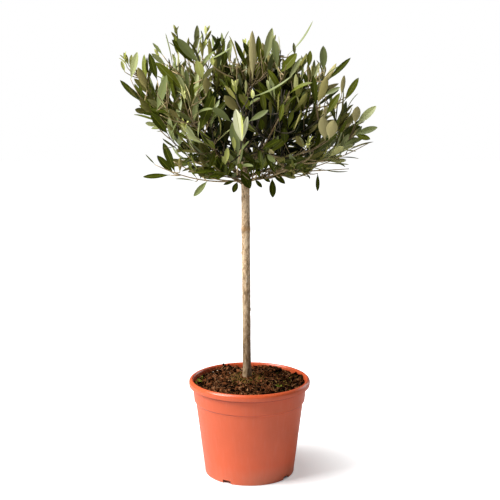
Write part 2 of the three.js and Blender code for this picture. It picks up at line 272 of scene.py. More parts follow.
class Paint:
    """A node material while it is being made. One method makes any node."""

    def __init__(self, name):
        self.material = bpy.data.materials.new(name)
        self.material.use_nodes = True
        self.tree = self.material.node_tree
        self.shader = self.tree.nodes["Principled BSDF"]

    def feed(self, socket, value):
        """Links a signal to a socket, or gives the socket a plain value."""
        if isinstance(value, Signal):
            self.tree.links.new(value.socket, socket)
        elif socket.type == "RGBA":
            socket.default_value = (*value[:3], 1)
        else:
            socket.default_value = value

    def node(self, kind, settings=None, inputs=None, output=0):
        """Makes a node, settings first, and returns the signal that comes out of it."""
        made = self.tree.nodes.new("ShaderNode" + kind)
        for name, value in (settings or {}).items():
            if name == "stops":
                self.set_stops(made.color_ramp, value)
            else:
                setattr(made, name, value)
        for key, value in (inputs or {}).items():
            self.feed(made.inputs[key], value)
        return Signal(self, made.outputs[output])

    def set_stops(self, ramp, stops):
        """Gives a colour ramp its stops, each with a place and a colour."""
        while len(ramp.elements) < len(stops):
            ramp.elements.new(1)
        for element, (place, color) in zip(ramp.elements, stops):
            element.position = place
            element.color = (*color, 1)

    def place(self, scale=(1, 1, 1)):
        """The piece's own coordinates in metres, scaled."""
        own = self.node("TexCoord", output="Object")
        return self.node("Mapping", None, {"Vector": own, "Scale": scale})

    def height(self):
        """The height in the piece's own coordinates, in metres."""
        return self.node("SeparateXYZ", None, {0: self.place()}, output="Z")

    def noise(self, place, scale, detail=4, rough=0.55):
        """Cloudy noise whose grains shrink as the scale grows."""
        inputs = {"Vector": place, "Scale": scale, "Detail": detail, "Roughness": rough}
        return self.node("TexNoise", None, inputs)

    def blend(self, factor, first, second):
        """A colour that goes from the first to the second with a factor."""
        inputs = {0: factor, 6: first, 7: second}
        return self.node("Mix", {"data_type": "RGBA"}, inputs, output=2)

    def ramp(self, factor, *stops):
        """A colour that changes with a factor, through stops of a place and a colour each."""
        return self.node("ValToRGB", {"stops": stops}, {0: factor})

    def span(self, value, low, high, to_low=0, to_high=1):
        """Goes from one number to another while a value goes from low to high."""
        inputs = {"Value": value, 1: low, 2: high, 3: to_low, 4: to_high}
        return self.node("MapRange", {"clamp": True}, inputs)

    def belt(self, height, rise, fall, strength):
        """Rises from nothing over one range of heights and falls back to it over another."""
        return self.span(height, *rise) * self.span(height, *fall, strength, 0)

    def lay(self, color, second, *span):
        """Lays a second colour over the first, as strongly as a span says."""
        return self.blend(self.span(*span), color, second)

    def bump(self, height, strength, distance):
        """Gives the surface a fine grain, besides the relief in its mesh."""
        inputs = {"Height": height, "Strength": strength, "Distance": distance}
        self.feed(self.shader.inputs["Normal"], self.node("Bump", None, inputs))

    def finish(self, **values):
        """Feeds the shader's named inputs and returns the material."""
        for name, value in values.items():
            self.feed(self.shader.inputs[name.replace("_", " ")], value)
        return self.material


class Curve:
    """A quadratic curve from a start towards a bend and on to an end."""

    def __init__(self, start, bend, end):
        self.start, self.bend, self.end = start.copy(), bend.copy(), end.copy()

    def at(self, share):
        """The point at a share of the curve."""
        return self.start.lerp(self.bend, share).lerp(self.bend.lerp(self.end, share), share)

    def points(self, steps):
        """Points along the curve at even steps, with its start and its end."""
        return [self.at(step / steps) for step in range(steps + 1)]

    def heading(self, share):
        """The direction in which the curve runs at a share of it."""
        first, last = self.bend - self.start, self.end - self.bend
        return first.lerp(last, share).normalized()

    def length(self):
        """The curve's length, measured in eight straight steps."""
        points = self.points(8)
        return sum((b - a).length for a, b in zip(points, points[1:]))


def put(name, data):
    """Puts a new object with given data in the scene."""
    made = bpy.data.objects.new(name, data)
    bpy.context.scene.collection.objects.link(made)
    return made


def add_piece(name, mesh, materials, nodes):
    """Puts a finished mesh in the scene as a piece that stands for some CAD nodes."""
    piece = put(name, mesh)
    for material in materials:
        mesh.materials.append(material)
    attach(piece, "root")
    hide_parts(*nodes)


def smooth(mesh, sharp_angle):
    """Shades a mesh smoothly but keeps its steep edges sharp."""
    mesh.shade_smooth()
    mesh.set_sharp_from_angle(angle=math.radians(sharp_angle))
    return mesh


def mesh_of(bm, name, sharp_angle=40):
    """Turns a bmesh into a smooth mesh."""
    mesh = bpy.data.meshes.new(name)
    bm.to_mesh(mesh)
    bm.free()
    return smooth(mesh, sharp_angle)


class Batch:
    """Many small shapes that become one mesh. Their points are in millimetres."""

    def __init__(self):
        self.points, self.faces, self.slots = [], [], []
        self.count = 0

    def add(self, points, faces, slots):
        """Adds a shape, with one material slot for all its faces or a list of one for each."""
        self.faces += [[self.count + corner for corner in face] for face in faces]
        self.slots += slots if isinstance(slots, list) else [slots] * len(faces)
        self.points.append(np.array(points))
        self.count += len(points)

    def mesh(self, name, sharp_angle):
        """The joined mesh of all shapes that were added."""
        mesh = bpy.data.meshes.new(name)
        mesh.from_pydata((np.concatenate(self.points) * MM).tolist(), [], self.faces)
        mesh.polygons.foreach_set("material_index", np.array(self.slots, dtype=np.int32))
        smooth(mesh, sharp_angle)
        mesh.update()
        return mesh


# Edges that turn by more than this angle in degrees are kept sharp
SHARP = {"pot": 38, "crumb": 30, "seedling": 60, "leaf": 55, "none": 180}

# A rounded corner takes up at most this share of each side that meets there
ARC_SHARE = 0.48


def rounded(corners, steps=5):
    """An outline through [radius, height, rounding] corners, each rounded with an arc."""
    outline = []
    for i, (radius, z, rounding) in enumerate(corners):
        here = Vector((radius, z))
        if rounding == 0:
            outline.append(here)
            continue
        back = Vector(corners[i - 1][:2]) - here
        on = Vector(corners[i + 1][:2]) - here
        start = here + back.normalized() * min(rounding, back.length * ARC_SHARE)
        end = here + on.normalized() * min(rounding, on.length * ARC_SHARE)
        outline += Curve(start, here, end).points(steps)
    return outline


def spun(outline, steps):
    """Turns an outline in millimetres round the Z axis."""
    bm = bmesh.new()
    line = [bm.verts.new((point.x * MM, 0, point.y * MM)) for point in outline]
    edges = [bm.edges.new(pair) for pair in zip(line, line[1:])]
    bmesh.ops.spin(
        bm,
        geom=line + edges,
        cent=(0, 0, 0),
        axis=(0, 0, 1),
        angle=math.tau,
        steps=steps,
        use_merge=True,
    )
    bmesh.ops.remove_doubles(bm, verts=bm.verts, dist=1e-6)
    bmesh.ops.recalc_face_normals(bm, faces=bm.faces)
    return bm


def cut_away(mesh, cutter_mesh):
    """The mesh with a cutter's shape taken away, as a new mesh."""
    body = put("body", mesh)
    cutter = put("cutter", cutter_mesh)
    cut = body.modifiers.new("cut", "BOOLEAN")
    cut.operation = "DIFFERENCE"
    cut.solver = "EXACT"
    cut.object = cutter
    evaluated = body.evaluated_get(bpy.context.evaluated_depsgraph_get())
    result = bpy.data.meshes.new_from_object(evaluated)
    bpy.data.objects.remove(body)
    bpy.data.objects.remove(cutter)
    return result


def pot_outline():
    """The pot's profile from the middle of its underside, up outside and down inside."""
    under_band = BAND_FOOT_RADIUS - STEP_IN
    step_foot = BAND_FOOT_Z - STEP_HEIGHT
    rim_foot = POT_HEIGHT - RIM_DROP
    corners = [
        (0, 0, 0),
        (CENTRE_PAD_RADIUS, 0, 1.2),
        (CENTRE_PAD_RADIUS + 2, FLOOR_RISE, 1.2),
        (FOOT_RADIUS - POT_WALL - 0.4, FLOOR_RISE, 0.8),
        (FOOT_RADIUS - POT_WALL, 0, 0.5),
        (FOOT_RADIUS - 0.05, 0, 1.6),
        (FOOT_RADIUS + 0.5, 6, 3),
        (under_band, step_foot, 0.4),
        (BAND_FOOT_RADIUS, BAND_FOOT_Z, 0.7),
        (BAND_TOP_RADIUS, rim_foot - 2, 2),
        (BAND_TOP_RADIUS + 0.4, rim_foot + 4.5, 1),
        (RIM_RADIUS - 1.9, rim_foot + 4.5, 0.8),
        (RIM_RADIUS - 2.2, rim_foot, 0.3),
        (RIM_RADIUS - 0.6, rim_foot, 0.5),
        (RIM_RADIUS, rim_foot + 4.6, 2.2),
        (RIM_RADIUS - 0.5, POT_HEIGHT - 2.6, 2.4),
        (RIM_RADIUS - 3.4, POT_HEIGHT, 2.2),
        (RIM_RADIUS - 5.4, POT_HEIGHT, 2),
        (RIM_RADIUS - 7.2, POT_HEIGHT - 2.6, 2),
        (BAND_TOP_RADIUS - POT_WALL, rim_foot - 2, 2),
        (BAND_FOOT_RADIUS - POT_WALL, BAND_FOOT_Z, 1),
        (under_band - POT_WALL, step_foot, 1),
        (FOOT_RADIUS - POT_WALL + 0.9, FLOOR_RISE + POT_WALL, 2),
        (CENTRE_PAD_RADIUS + 4, FLOOR_RISE + POT_WALL, 1),
        (CENTRE_PAD_RADIUS + 2, POT_WALL, 1),
        (0, POT_WALL, 0),
    ]
    return rounded(corners)


def notch_cutters():
    """The four drain notches' shapes, with rounded upper corners."""
    bm = bmesh.new()
    for turn in NOTCH_TURNS:
        size = Matrix.Diagonal((NOTCH_LENGTH * MM, NOTCH_WIDTH * MM, 2 * NOTCH_HEIGHT * MM, 1))
        at_foot = Matrix.Translation((FOOT_RADIUS * MM, 0, 0))
        turned = Matrix.Rotation(math.radians(turn), 4, "Z")
        bmesh.ops.create_cube(bm, size=1, matrix=turned @ at_foot @ size)
    tops = [edge for edge in bm.edges if is_notch_corner(edge)]
    bmesh.ops.bevel(
        bm,
        geom=tops,
        offset=NOTCH_ROUNDING * MM,
        segments=4,
        profile=0.5,
        affect="EDGES",
        material=-1,
    )
    mesh = bpy.data.meshes.new("notch_cutters")
    bm.to_mesh(mesh)
    bm.free()
    return mesh


def is_notch_corner(edge):
    """True for an upper edge of a notch that runs inwards through the pot's foot."""
    a, b = (vert.co for vert in edge.verts)
    run = abs(Vector((a.x, a.y)).length - Vector((b.x, b.y)).length)
    return run > NOTCH_LENGTH * MM / 2 and a.z > 0 and b.z > 0


# Belts of painted shade under the rim and under the band's step: the heights in metres over which
# each comes and goes, and its strength
RIM_NOOK_SHADE = ((0.138, 0.1396), (0.1416, 0.1418), 0.7)
BAND_STEP_SHADE = ((0.1154, 0.1168), (0.1176, 0.118), 0.42)
# The knot's belt is the bark's own brown ring, with the same columns
BARK_KNOT = ((0.386, 0.39), (0.392, 0.396), 0.6)

# How much the plastic's pale streaks are whitened, and how bright its deep clouds are
WHITENING = 0.14
DEEP_BRIGHTNESS = 0.86

# Colours that are laid over the plastic: painted shade in the nooks, and real dust; and the height
# in metres to which dust reaches
PAINTED_SHADE_COLOR = (0.34, 0.036, 0.011)
DUST_COLOR = (0.42, 0.26, 0.17)
DUST_HEIGHT = 0.03


def pot_plastic(settings):
    """Moulded plastic: faint streaks, pale scuffs, dust near the foot and painted shade in the
    nooks.
    """
    paint = Paint("pot_plastic")
    place = paint.place()
    cloud = paint.noise(place, 9, 3)
    streak = paint.noise(paint.place((1, 1, 0.08)), 260, 3)
    scuff = paint.noise(paint.place((0.35, 0.35, 1)), 420, 5, 0.7)
    grain = paint.noise(place, 2600, 2)
    height = paint.height()
    base = tuple(settings.color)
    pale = tuple(lerp(c, 1, WHITENING) for c in base)
    deep = tuple(c * DEEP_BRIGHTNESS for c in base)
    color = paint.blend(paint.span(cloud, 0.35, 0.7), deep, base)
    color = paint.lay(color, pale, streak, 0.5, 0.8, 0, 0.12)
    color = paint.lay(color, pale, scuff, 0.7, 0.8, 0, 0.3)
    dusty = paint.span(height, 0, DUST_HEIGHT, 0.35, 0) * paint.span(cloud, 0.4, 0.62)
    color = paint.blend(dusty, color, DUST_COLOR)
    # Painted shade: dark red lines under the rim's lip and under the band's step
    shaded = paint.belt(height, *RIM_NOOK_SHADE) + paint.belt(height, *BAND_STEP_SHADE)
    color = paint.blend(shaded, color, PAINTED_SHADE_COLOR)
    worn = paint.span(scuff, 0.3, 0.8, -0.05, 0.12)
    rough = paint.span(height, 0.143, 0.149, settings.roughness, settings.rim_roughness)
    paint.bump(grain * 0.35 + streak * 0.5 + scuff * 0.15, 0.22, 0.0004)
    return paint.finish(
        Base_Color=color,
        Roughness=rough + worn,
        Specular_IOR_Level=0.52,
        Subsurface_Weight=0.03,
        Subsurface_Radius=(0.006, 0.002, 0.001),
    )


def color_setting(name, description, default):
    """A colour that is set in the panel."""
    return FloatVectorProperty(
        name=name, description=description, subtype="COLOR", size=3, min=0, max=1, default=default
    )


def share_setting(name, description, default):
    """A number from 0 to 1 that is set in the panel."""
    return FloatProperty(
        name=name, description=description, subtype="FACTOR", min=0, max=1, default=default
    )


def length_setting(name, description, default):
    """A length that is set in the panel, in metres."""
    return FloatProperty(name=name, description=description, unit="LENGTH", default=default)


def power_setting(name, description, default):
    """A light's power that is set in the panel, in watts."""
    return FloatProperty(name=name, description=description, unit="POWER", default=default)


def count_setting(name, description, default, least=0):
    """A whole number that is set in the panel."""
    return IntProperty(name=name, description=description, min=least, default=default)


class PotSettings(bpy.types.PropertyGroup):
    """Finish of the plastic pot."""

    color: color_setting("Colour", "Base colour of the moulded plastic", (0.79, 0.128, 0.040))
    roughness: share_setting("Roughness", "Middle roughness of the plastic", 0.42)
    rim_roughness: share_setting("Rim Roughness", "Roughness of the rim, polished by hands", 0.29)
    segments: count_setting("Segments", "Number of facets round the pot", 176, 32)


class OLIVE_OT_pot(bpy.types.Operator):
    """Make the round plastic pot with its rolled rim, band, foot and drain notches"""

    bl_idname = "olive.pot"
    bl_label = "Make Pot"

    def execute(self, context):
        settings = context.scene.olive_pot
        whole = mesh_of(spun(pot_outline(), settings.segments), "pot_whole")
        mesh = smooth(cut_away(whole, notch_cutters()), SHARP["pot"])
        add_piece("pot_shell", mesh, [pot_plastic(settings)], ["pot"])
        return {"FINISHED"}


# Heaps on the soil: place, height and width
SOIL_HEAPS = (
    (-42, 62, 5.5, 14),
    (41, 62, 5, 13),
    (-60, -6, 2.5, 12),
    (80, 24, 4, 20),
    (84, -12, 3, 18),
    (20, 70, 3, 12),
)


# Heights and sizes of the soil's lumps, and how far it has sunk, in millimetres
LUMP_HEIGHT = 2.2
SMALL_LUMP_HEIGHT = 0.8
COARSE_HEIGHT = 3.8
COARSE_SIZE = 11
FINE_HEIGHT = 4.4
FINE_SIZE = 4.5
SOIL_SUNK = 0.6

# The soil's mesh: the height of its foot, how far it narrows there, and its facets
SOIL_FOOT_Z = 124
SOIL_FOOT_IN = 1.6
SOIL_RINGS = 58
SOIL_FACETS = 190


def soil_height(x, y):
    """The soil's height at a place, with its mound, heaps, lumps and crumbs."""
    radius = math.hypot(x, y)
    outward = max(0, (radius - SOIL_FLAT_RADIUS) / (SOIL_RADIUS - SOIL_FLAT_RADIUS))
    lump = LUMP_HEIGHT * math.sin(x / 9 + 2) * math.cos(y / 7 - 1)
    lump += SMALL_LUMP_HEIGHT * math.sin(x / 3.7 - y / 4.3)
    within = min(1, 4 * outward) * min(1, 6 * max(0, 1 - outward))
    mound = (SOIL_MOUND_Z - SOIL_EDGE_Z) * (1 - min(1, outward) ** 1.5)
    spot = Vector((x, y, 0))
    coarse = COARSE_HEIGHT * noise.fractal(spot / COARSE_SIZE, 1, 2, 3)
    fine = FINE_HEIGHT * (noise.turbulence(spot / FINE_SIZE, 3, False) - 0.5)
    broken = (coarse + fine) * min(1, 0.25 + outward)
    heap = 0
    for place_x, place_y, rise, width in SOIL_HEAPS:
        away = math.hypot(x - place_x, y - place_y) / width
        heap += rise * math.exp(-(away**2))
    return SOIL_EDGE_Z + mound + lump * within + heap + broken - SOIL_SUNK


def soil_mesh():
    """The soil's crumbly top, closed below."""
    radii = [SOIL_RADIUS * (ring / SOIL_RINGS) ** 0.9 for ring in range(SOIL_RINGS + 1)]
    outline = [Vector((radius, SOIL_MOUND_Z)) for radius in radii]
    outline += [Vector((SOIL_RADIUS - SOIL_FOOT_IN, SOIL_FOOT_Z)), Vector((0, SOIL_FOOT_Z))]
    bm = spun(outline, SOIL_FACETS)
    for vert in bm.verts:
        if vert.co.z > (SOIL_FOOT_Z + 1) * MM:
            vert.co.z = soil_height(vert.co.x / MM, vert.co.y / MM) * MM
    return mesh_of(bm, "soil_bed", SHARP["none"])


def compost():
    """Dark compost under the loose crumbs."""
    paint = Paint("compost")
    place = paint.place()
    broad = paint.noise(place, 55, 6, 0.7)
    fine = paint.noise(place, 520, 6, 0.75)
    color = paint.ramp(
        fine,
        (0.40, (0.002, 0.0007, 0.0003)),
        (0.53, (0.026, 0.009, 0.003)),
        (0.68, (0.120, 0.044, 0.015)),
    )
    tinted = paint.lay(color, (0.05, 0.034, 0.012), broad, 0.45, 0.65, 0, 0.5)
    paint.bump(fine + broad * 0.6, 1, 0.0016)
    return paint.finish(Base_Color=tinted, Roughness=0.95, Specular_IOR_Level=0)


def plain_finish(name, color, roughness, **more):
    """A finish of one colour, for small things whose colours are dealt out one by one."""
    return Paint(name).finish(Base_Color=color, Roughness=roughness, **more)


def crumb_shape():
    """A rough crumb's points and faces, about one unit across."""
    bm = bmesh.new()
    bmesh.ops.create_icosphere(bm, subdivisions=1, radius=0.5)
    points = np.array([vert.co[:] for vert in bm.verts])
    faces = [[vert.index for vert in face.verts] for face in bm.faces]
    bm.free()
    return points, faces


SOIL_TONES = {
    "soil_black": (0.003, 0.001, 0.0005),
    "soil_dark": (0.030, 0.010, 0.003),
    "soil_brown": (0.125, 0.040, 0.013),
    "soil_warm": (0.225, 0.082, 0.032),
    "soil_tan": (0.42, 0.21, 0.10),
    "soil_grit": (0.66, 0.58, 0.45),
    "moss_dark": (0.080, 0.058, 0.010),
    "moss_light": (0.210, 0.170, 0.028),
    "seedling": (0.21, 0.29, 0.03),
}
TONE_NAMES = list(SOIL_TONES)

# Crumbs that aren't mossy take the first six tones in these shares, each added to those before
CRUMB_SHARES = (0.31, 0.53, 0.80, 0.945, 0.988, 1)

# Crumbs darken from the first x to the second, as painted shade on the side away from the light.
# From there on they use only this part of the shares
PAINTED_SHADE_SIDE = (-10, 60)
PAINTED_SHADE_SIDE_SHARE = 0.62

# Moss grows in a ring round the trunk, and at the right, more and more from one x to the other
MOSS_RING_SHARE = 0.5
MOSS_RING_RADIUS = 17
MOSS_RING_WIDTH = 30
MOSS_SIDE = (20, 70)
MOSS_SIDE_SHARE = 0.24
MOSS_LIGHT_SHARE = 0.42

# Crumbs: the sizes of common, gritty and mossy ones, and the spans of their form
CRUMB_LEAST = 1.5
CRUMB_MORE = 5.4
CRUMB_RARITY = 2.4
GRIT_SIZE = (1.2, 0.9)
MOSS_CRUMB_MOST = 2.6
CRUMB_STRETCH = ((0.7, 0.9), (0.6, 0.5), (0.45, 0.4))
CRUMB_DENT = (0.66, 0.6)
CRUMB_RISE = 0.12
CRUMB_MARGIN = 2.5


def scattered(reach, draw):
    """A random place on a round patch with a given radius."""
    radius = reach * math.sqrt(draw())
    turn = math.tau * draw()
    return radius * math.cos(turn), radius * math.sin(turn)


def crumb_tone(x, y, draw):
    """The tone of one crumb. Moss grows mostly near the trunk and at the right. Crumbs at the right
    are darker, as painted shade.
    """
    pick = draw()
    off_ring = abs(math.hypot(x - TRUNK_FOOT.x, y) - MOSS_RING_RADIUS)
    moss = MOSS_RING_SHARE * max(0, 1 - off_ring / MOSS_RING_WIDTH)
    moss += MOSS_SIDE_SHARE * smoothstep(x, *MOSS_SIDE)
    if pick < moss:
        return "moss_light" if draw() < MOSS_LIGHT_SHARE else "moss_dark"
    pick = lerp(1, PAINTED_SHADE_SIDE_SHARE, smoothstep(x, *PAINTED_SHADE_SIDE)) * draw()
    return next(name for name, share in zip(TONE_NAMES, CRUMB_SHARES) if pick <= share)


def crumbs(count):
    """Loose crumbs on the soil as one joined mesh."""
    shape, faces = crumb_shape()
    draw = seeded(SEEDS["crumbs"])
    batch = Batch()
    for _ in range(count):
        x, y = scattered(SOIL_RADIUS - CRUMB_MARGIN, draw)
        size = CRUMB_LEAST + CRUMB_MORE * draw() ** CRUMB_RARITY
        tone = crumb_tone(x, y, draw)
        if tone == "soil_grit":
            size = ranged(GRIT_SIZE, draw)
        elif tone.startswith("moss"):
            size = min(size, MOSS_CRUMB_MOST)
        spin = Quaternion((draw() - 0.5, draw() - 0.5, draw() - 0.5), math.tau * draw())
        stretch = np.array([ranged(span, draw) for span in CRUMB_STRETCH])
        dents = np.array([ranged(CRUMB_DENT, draw) for _ in shape])[:, None]
        body = shape * dents * stretch * size
        body = body @ np.array(spin.to_matrix()).T
        place = np.array((x, y, soil_height(x, y) + CRUMB_RISE * size))
        batch.add(body + place, faces, TONE_NAMES.index(tone))
    return batch.mesh("soil_crumbs", SHARP["crumb"])


# Seedlings: their places, their leaflets, and a leaflet's lean in degrees and size
SEEDLINGS = ((-83, -4), (-74, 11), (-79, -12), (46, -41))
LEAFLETS = 6
LEAFLET_LEAN = (15, 70)
LEAFLET_WIDTH = 2.4
LEAFLET_LENGTH = (5.5, 2)
LEAFLET_THICKNESS = 0.6
LEAFLET_RISE = 1.5


def seedlings():
    """Small green seedlings as one joined mesh."""
    shape, faces = crumb_shape()
    draw = seeded(SEEDS["seedlings"])
    batch = Batch()
    for x, y in SEEDLINGS:
        for leaflet in range(LEAFLETS):
            lean = Quaternion(X_AXIS, math.radians(lerp(*LEAFLET_LEAN, draw())))
            turn = Quaternion(Z_AXIS, math.tau * leaflet / LEAFLETS + draw())
            size = (LEAFLET_WIDTH, ranged(LEAFLET_LENGTH, draw), LEAFLET_THICKNESS)
            body = (shape + np.array((0, 0.5, 0))) * np.array(size)
            body = body @ np.array((turn @ lean).to_matrix()).T
            place = np.array((x, y, soil_height(x, y) + LEAFLET_RISE))
            batch.add(body + place, faces, TONE_NAMES.index("seedling"))
    return batch.mesh("seedlings", SHARP["seedling"])


# Fibres and moss stalks: facets, taper, the spread of their curl in radians, and their lift
STRAND_STEPS = 5
STRAND_SIDES = 3
STRAND_TAPER = 0.6
STRAND_CURL = 2.4
STRAND_LIFT = 0.5

# Moss stalks: their share, the radius of their patch, and how steep, long and wide they are
STALK_SHARE = 0.34
STALK_PATCH = 30
STALK_STEEP = 1.5
STALK_LENGTH = (2.2, 2)
STALK_WIDTH = 0.5

# Fibres: their distance from the soil's edge, and how steep, long and wide they are
FIBRE_MARGIN = 6
FIBRE_STEEP = 0.25
FIBRE_LENGTH = (5, 9)
FIBRE_WIDTH = (0.35, 0.35)


def strand(start, heading, length, width, draw):
    """A thin bent strand's rings of points, for fibres and stalks."""
    curl = STRAND_CURL * (draw() - 0.5)
    axis = Vector((draw() - 0.5, draw() - 0.5, draw() - 0.5)).normalized()
    place = Vector(start)
    heading = Vector(heading).normalized()
    points = []
    for step in range(STRAND_STEPS + 1):
        side = heading.orthogonal().normalized() * width / 2
        taper = 1 - STRAND_TAPER * step / STRAND_STEPS
        for i in range(STRAND_SIDES):
            offset = Quaternion(heading, math.tau * i / STRAND_SIDES) @ side
            points.append(place + offset * taper)
        place = place + heading * (length / STRAND_STEPS)
        heading = Quaternion(axis, curl / STRAND_STEPS) @ heading
    return points


def tube_faces(rings, sides):
    """The faces of a closed tube of rings of points."""
    faces = []
    for ring in range(rings - 1):
        for side in range(sides):
            a = ring * sides + side
            b = ring * sides + (side + 1) % sides
            faces.append((a, b, b + sides, a + sides))
    faces.append(tuple(reversed(range(sides))))
    faces.append(tuple(range((rings - 1) * sides, rings * sides)))
    return faces


def fibres(count):
    """Peat fibres and moss stalks on the soil as one joined mesh."""
    faces = tube_faces(STRAND_STEPS + 1, STRAND_SIDES)
    draw = seeded(SEEDS["fibres"])
    batch = Batch()
    for _ in range(count):
        mossy = draw() < STALK_SHARE
        x, y = scattered(STALK_PATCH if mossy else SOIL_RADIUS - FIBRE_MARGIN, draw)
        x += TRUNK_FOOT.x if mossy else 0
        steep = STALK_STEEP if mossy else FIBRE_STEEP
        heading = (draw() - 0.5, draw() - 0.5, steep * draw())
        length = ranged(STALK_LENGTH if mossy else FIBRE_LENGTH, draw)
        width = STALK_WIDTH if mossy else ranged(FIBRE_WIDTH, draw)
        start = (x, y, soil_height(x, y) + STRAND_LIFT)
        points = strand(start, heading, length, width, draw)
        mossy_tone = "moss_light" if draw() < 0.5 else "moss_dark"
        dry_tone = "soil_tan" if draw() < 0.3 else "soil_warm"
        batch.add(points, faces, TONE_NAMES.index(mossy_tone if mossy else dry_tone))
    return batch.mesh("soil_fibres", SHARP["crumb"])


class SoilSettings(bpy.types.PropertyGroup):
    """Make-up of the compost's surface."""

    crumb_count: count_setting("Crumbs", "Number of loose crumbs on the soil", 4000)
    fibre_count: count_setting("Fibres", "Number of fibres and moss stalks", 1300)


class OLIVE_OT_soil(bpy.types.Operator):
    """Make the compost that fills the pot, with its crumbs, fibres, moss and seedlings"""

    bl_idname = "olive.soil"
    bl_label = "Make Soil"

    def execute(self, context):
        settings = context.scene.olive_soil
        add_piece("soil_bed", soil_mesh(), [compost()], ["soil"])
        finishes = [
            plain_finish(name, color, 0.95, Specular_IOR_Level=0.03)
            for name, color in SOIL_TONES.items()
        ]
        for mesh in (crumbs(settings.crumb_count), fibres(settings.fibre_count), seedlings()):
            add_piece(mesh.name, mesh, finishes, ["soil"])
        return {"FINISHED"}


def trunk_at(z):
    """The middle of the trunk at a height."""
    return TRUNK_FOOT.lerp(TRUNK_HEAD, (z - TRUNK_FOOT.z) / (TRUNK_HEAD.z - TRUNK_FOOT.z))


def trunk_radius(z):
    """The trunk's radius at a height, with its root flare, knot and tapered head."""
    flare = ROOT_FLARE * math.exp(-max(0, z - TRUNK_FOOT.z) / ROOT_FLARE_HEIGHT)
    knot = KNOT_SWELL * math.exp(-(((z - KNOT_Z) / KNOT_HEIGHT) ** 2))
    head = smoothstep(z, TRUNK_HEAD.z - TRUNK_HEAD_TAPER, TRUNK_HEAD.z)
    return lerp(TRUNK_RADIUS + flare + knot, TRUNK_HEAD_RADIUS, head)


def spread(k, count, lowest):
    """Direction k of count, spread evenly round the crown from its lowest rise to its top."""
    rise = lowest + (1 - lowest) * (k + 0.5) / count
    turn = FIRST_TURN + k * GOLDEN_ANGLE
    flat = math.sqrt(1 - rise * rise)
    return Vector((flat * math.cos(turn), flat * math.sin(turn), rise))


def shell(direction, reach):
    """The point of the crown's surface in a direction, at a share of its reach."""
    flat = math.hypot(direction.x, direction.y) / CROWN_WIDE
    rise = abs(direction.z) / (CROWN_UP if direction.z > 0 else CROWN_DOWN)
    length = reach * (flat**CROWN_BOXY + rise**CROWN_BOXY) ** (-1 / CROWN_BOXY)
    place = Quaternion(Y_AXIS, CROWN_TILT) @ (direction * length) + CROWN_MIDDLE
    radius = math.hypot(place.x, place.y)
    rising = CROWN_FLOOR_RISE - CROWN_FLOOR_LEAN * place.x / max(1, radius)
    place.z = max(place.z, CROWN_FLOOR_Z + rising * max(0, radius - CROWN_FLOOR_RADIUS))
    return place


class Bough:
    """A bough's curve from the trunk's middle to its tip, and the stem that carries on from it."""

    def __init__(self, k):
        direction = spread(k, BOUGHS, BOUGH_LOWEST_RISE)
        rise = lerp(FORK_LOW_Z, FORK_HIGH_Z, k / (BOUGHS - 2))
        fork = TRUNK_HEAD if k == BOUGHS - 1 else trunk_at(rise)
        end = shell(direction, 1)
        climb = BOUGH_LEVEL + BOUGH_CLIMB * max(0, direction.z)
        outward = Vector((direction.x, direction.y, climb))
        bend = fork + outward.normalized() * BOUGH_BEND * (end - fork).length
        self.whole = Curve(fork, bend, end)
        self.tip = self.whole.at(BOUGH_SHARE)
        self.curve = Curve(fork, fork.lerp(bend, BOUGH_SHARE), self.tip)
        ahead = self.whole.heading(BOUGH_SHARE)
        foot = self.tip + ahead * SEAT_GAP
        stem_tip = self.whole.at(STEM_SHARE)
        stem_bend = foot + ahead * STEM_BEND * (stem_tip - foot).length
        self.stem = Curve(foot, stem_bend, stem_tip)
        self.middle = self.tip.lerp(end, MASS_MIDDLE)


BOUGH_LIST = [Bough(k) for k in range(BOUGHS)]


def bough_radius(share):
    """A bough's radius at a share of its length."""
    return lerp(BOUGH_ROOT_RADIUS, BOUGH_TIP_RADIUS, share**BOUGH_TAPER)


# Leaves are kept clear of the trunk from this far below the forks, sampled at this step, and of
# the boughs, sampled at this number of steps
CLEAR_TRUNK = 40
TRUNK_SAMPLE = 3
BOUGH_SAMPLES = 30


def limb_points():
    """Places along the trunk and the boughs, and the limb's radius at each."""
    heights = range(FORK_LOW_Z - CLEAR_TRUNK, int(TRUNK_HEAD.z), TRUNK_SAMPLE)
    rows = [(*trunk_at(z), TRUNK_RADIUS) for z in heights]
    for bough in BOUGH_LIST:
        for step, place in enumerate(bough.curve.points(BOUGH_SAMPLES)):
            rows.append((*place, bough_radius(step / BOUGH_SAMPLES)))
    table = np.array(rows)
    return table[:, :3], table[:, 3]


LIMB_PLACES, LIMB_RADII = limb_points()


def clear_of_limbs(points, rooms):
    """True if each point lies its own room away from every limb."""
    apart = np.linalg.norm(points[:, None, :] - LIMB_PLACES[None], axis=2)
    return bool((apart > LIMB_RADII[None] + np.asarray(rooms)[:, None] + LIMB_MARGIN).all())


def in_space(k, place):
    """True if a place is in mass k's own space, nearer to its middle than to any other's."""
    own = BOUGH_LIST[k].middle
    for j, other in enumerate(BOUGH_LIST):
        if j == k:
            continue
        lead = (place - other.middle).length_squared - (place - own).length_squared
        if lead / (2 * (own - other.middle).length) <= CELL_MARGIN:
            return False
    return True


def shoot_curve(k, tip):
    """A shoot leaves its mass's stem at a slant and turns up towards its tip."""
    stem = BOUGH_LIST[k].stem
    run = stem.end - stem.start
    length = run.length
    run = run / length
    offset = tip - stem.start
    along = offset.dot(run)
    aside = (offset - run * along).length
    share = (along - SHOOT_START * aside) / length
    start = stem.at(min(SHOOT_LAST_START, max(SHOOT_FIRST_START, share)))
    reach = (tip - start).length
    bend = start.lerp(tip, 0.5) + run * SHOOT_AHEAD * reach - Z_AXIS * SHOOT_SAG * reach
    return Curve(start, bend, tip)


class Shoot:
    """One shoot. It may carry finer twigs, and its leaves may have a tone of its own."""

    def __init__(self, number, mass, curve, twiggy=True, tone=None):
        self.number, self.mass, self.curve = number, mass, curve
        self.twiggy, self.tone = twiggy, tone


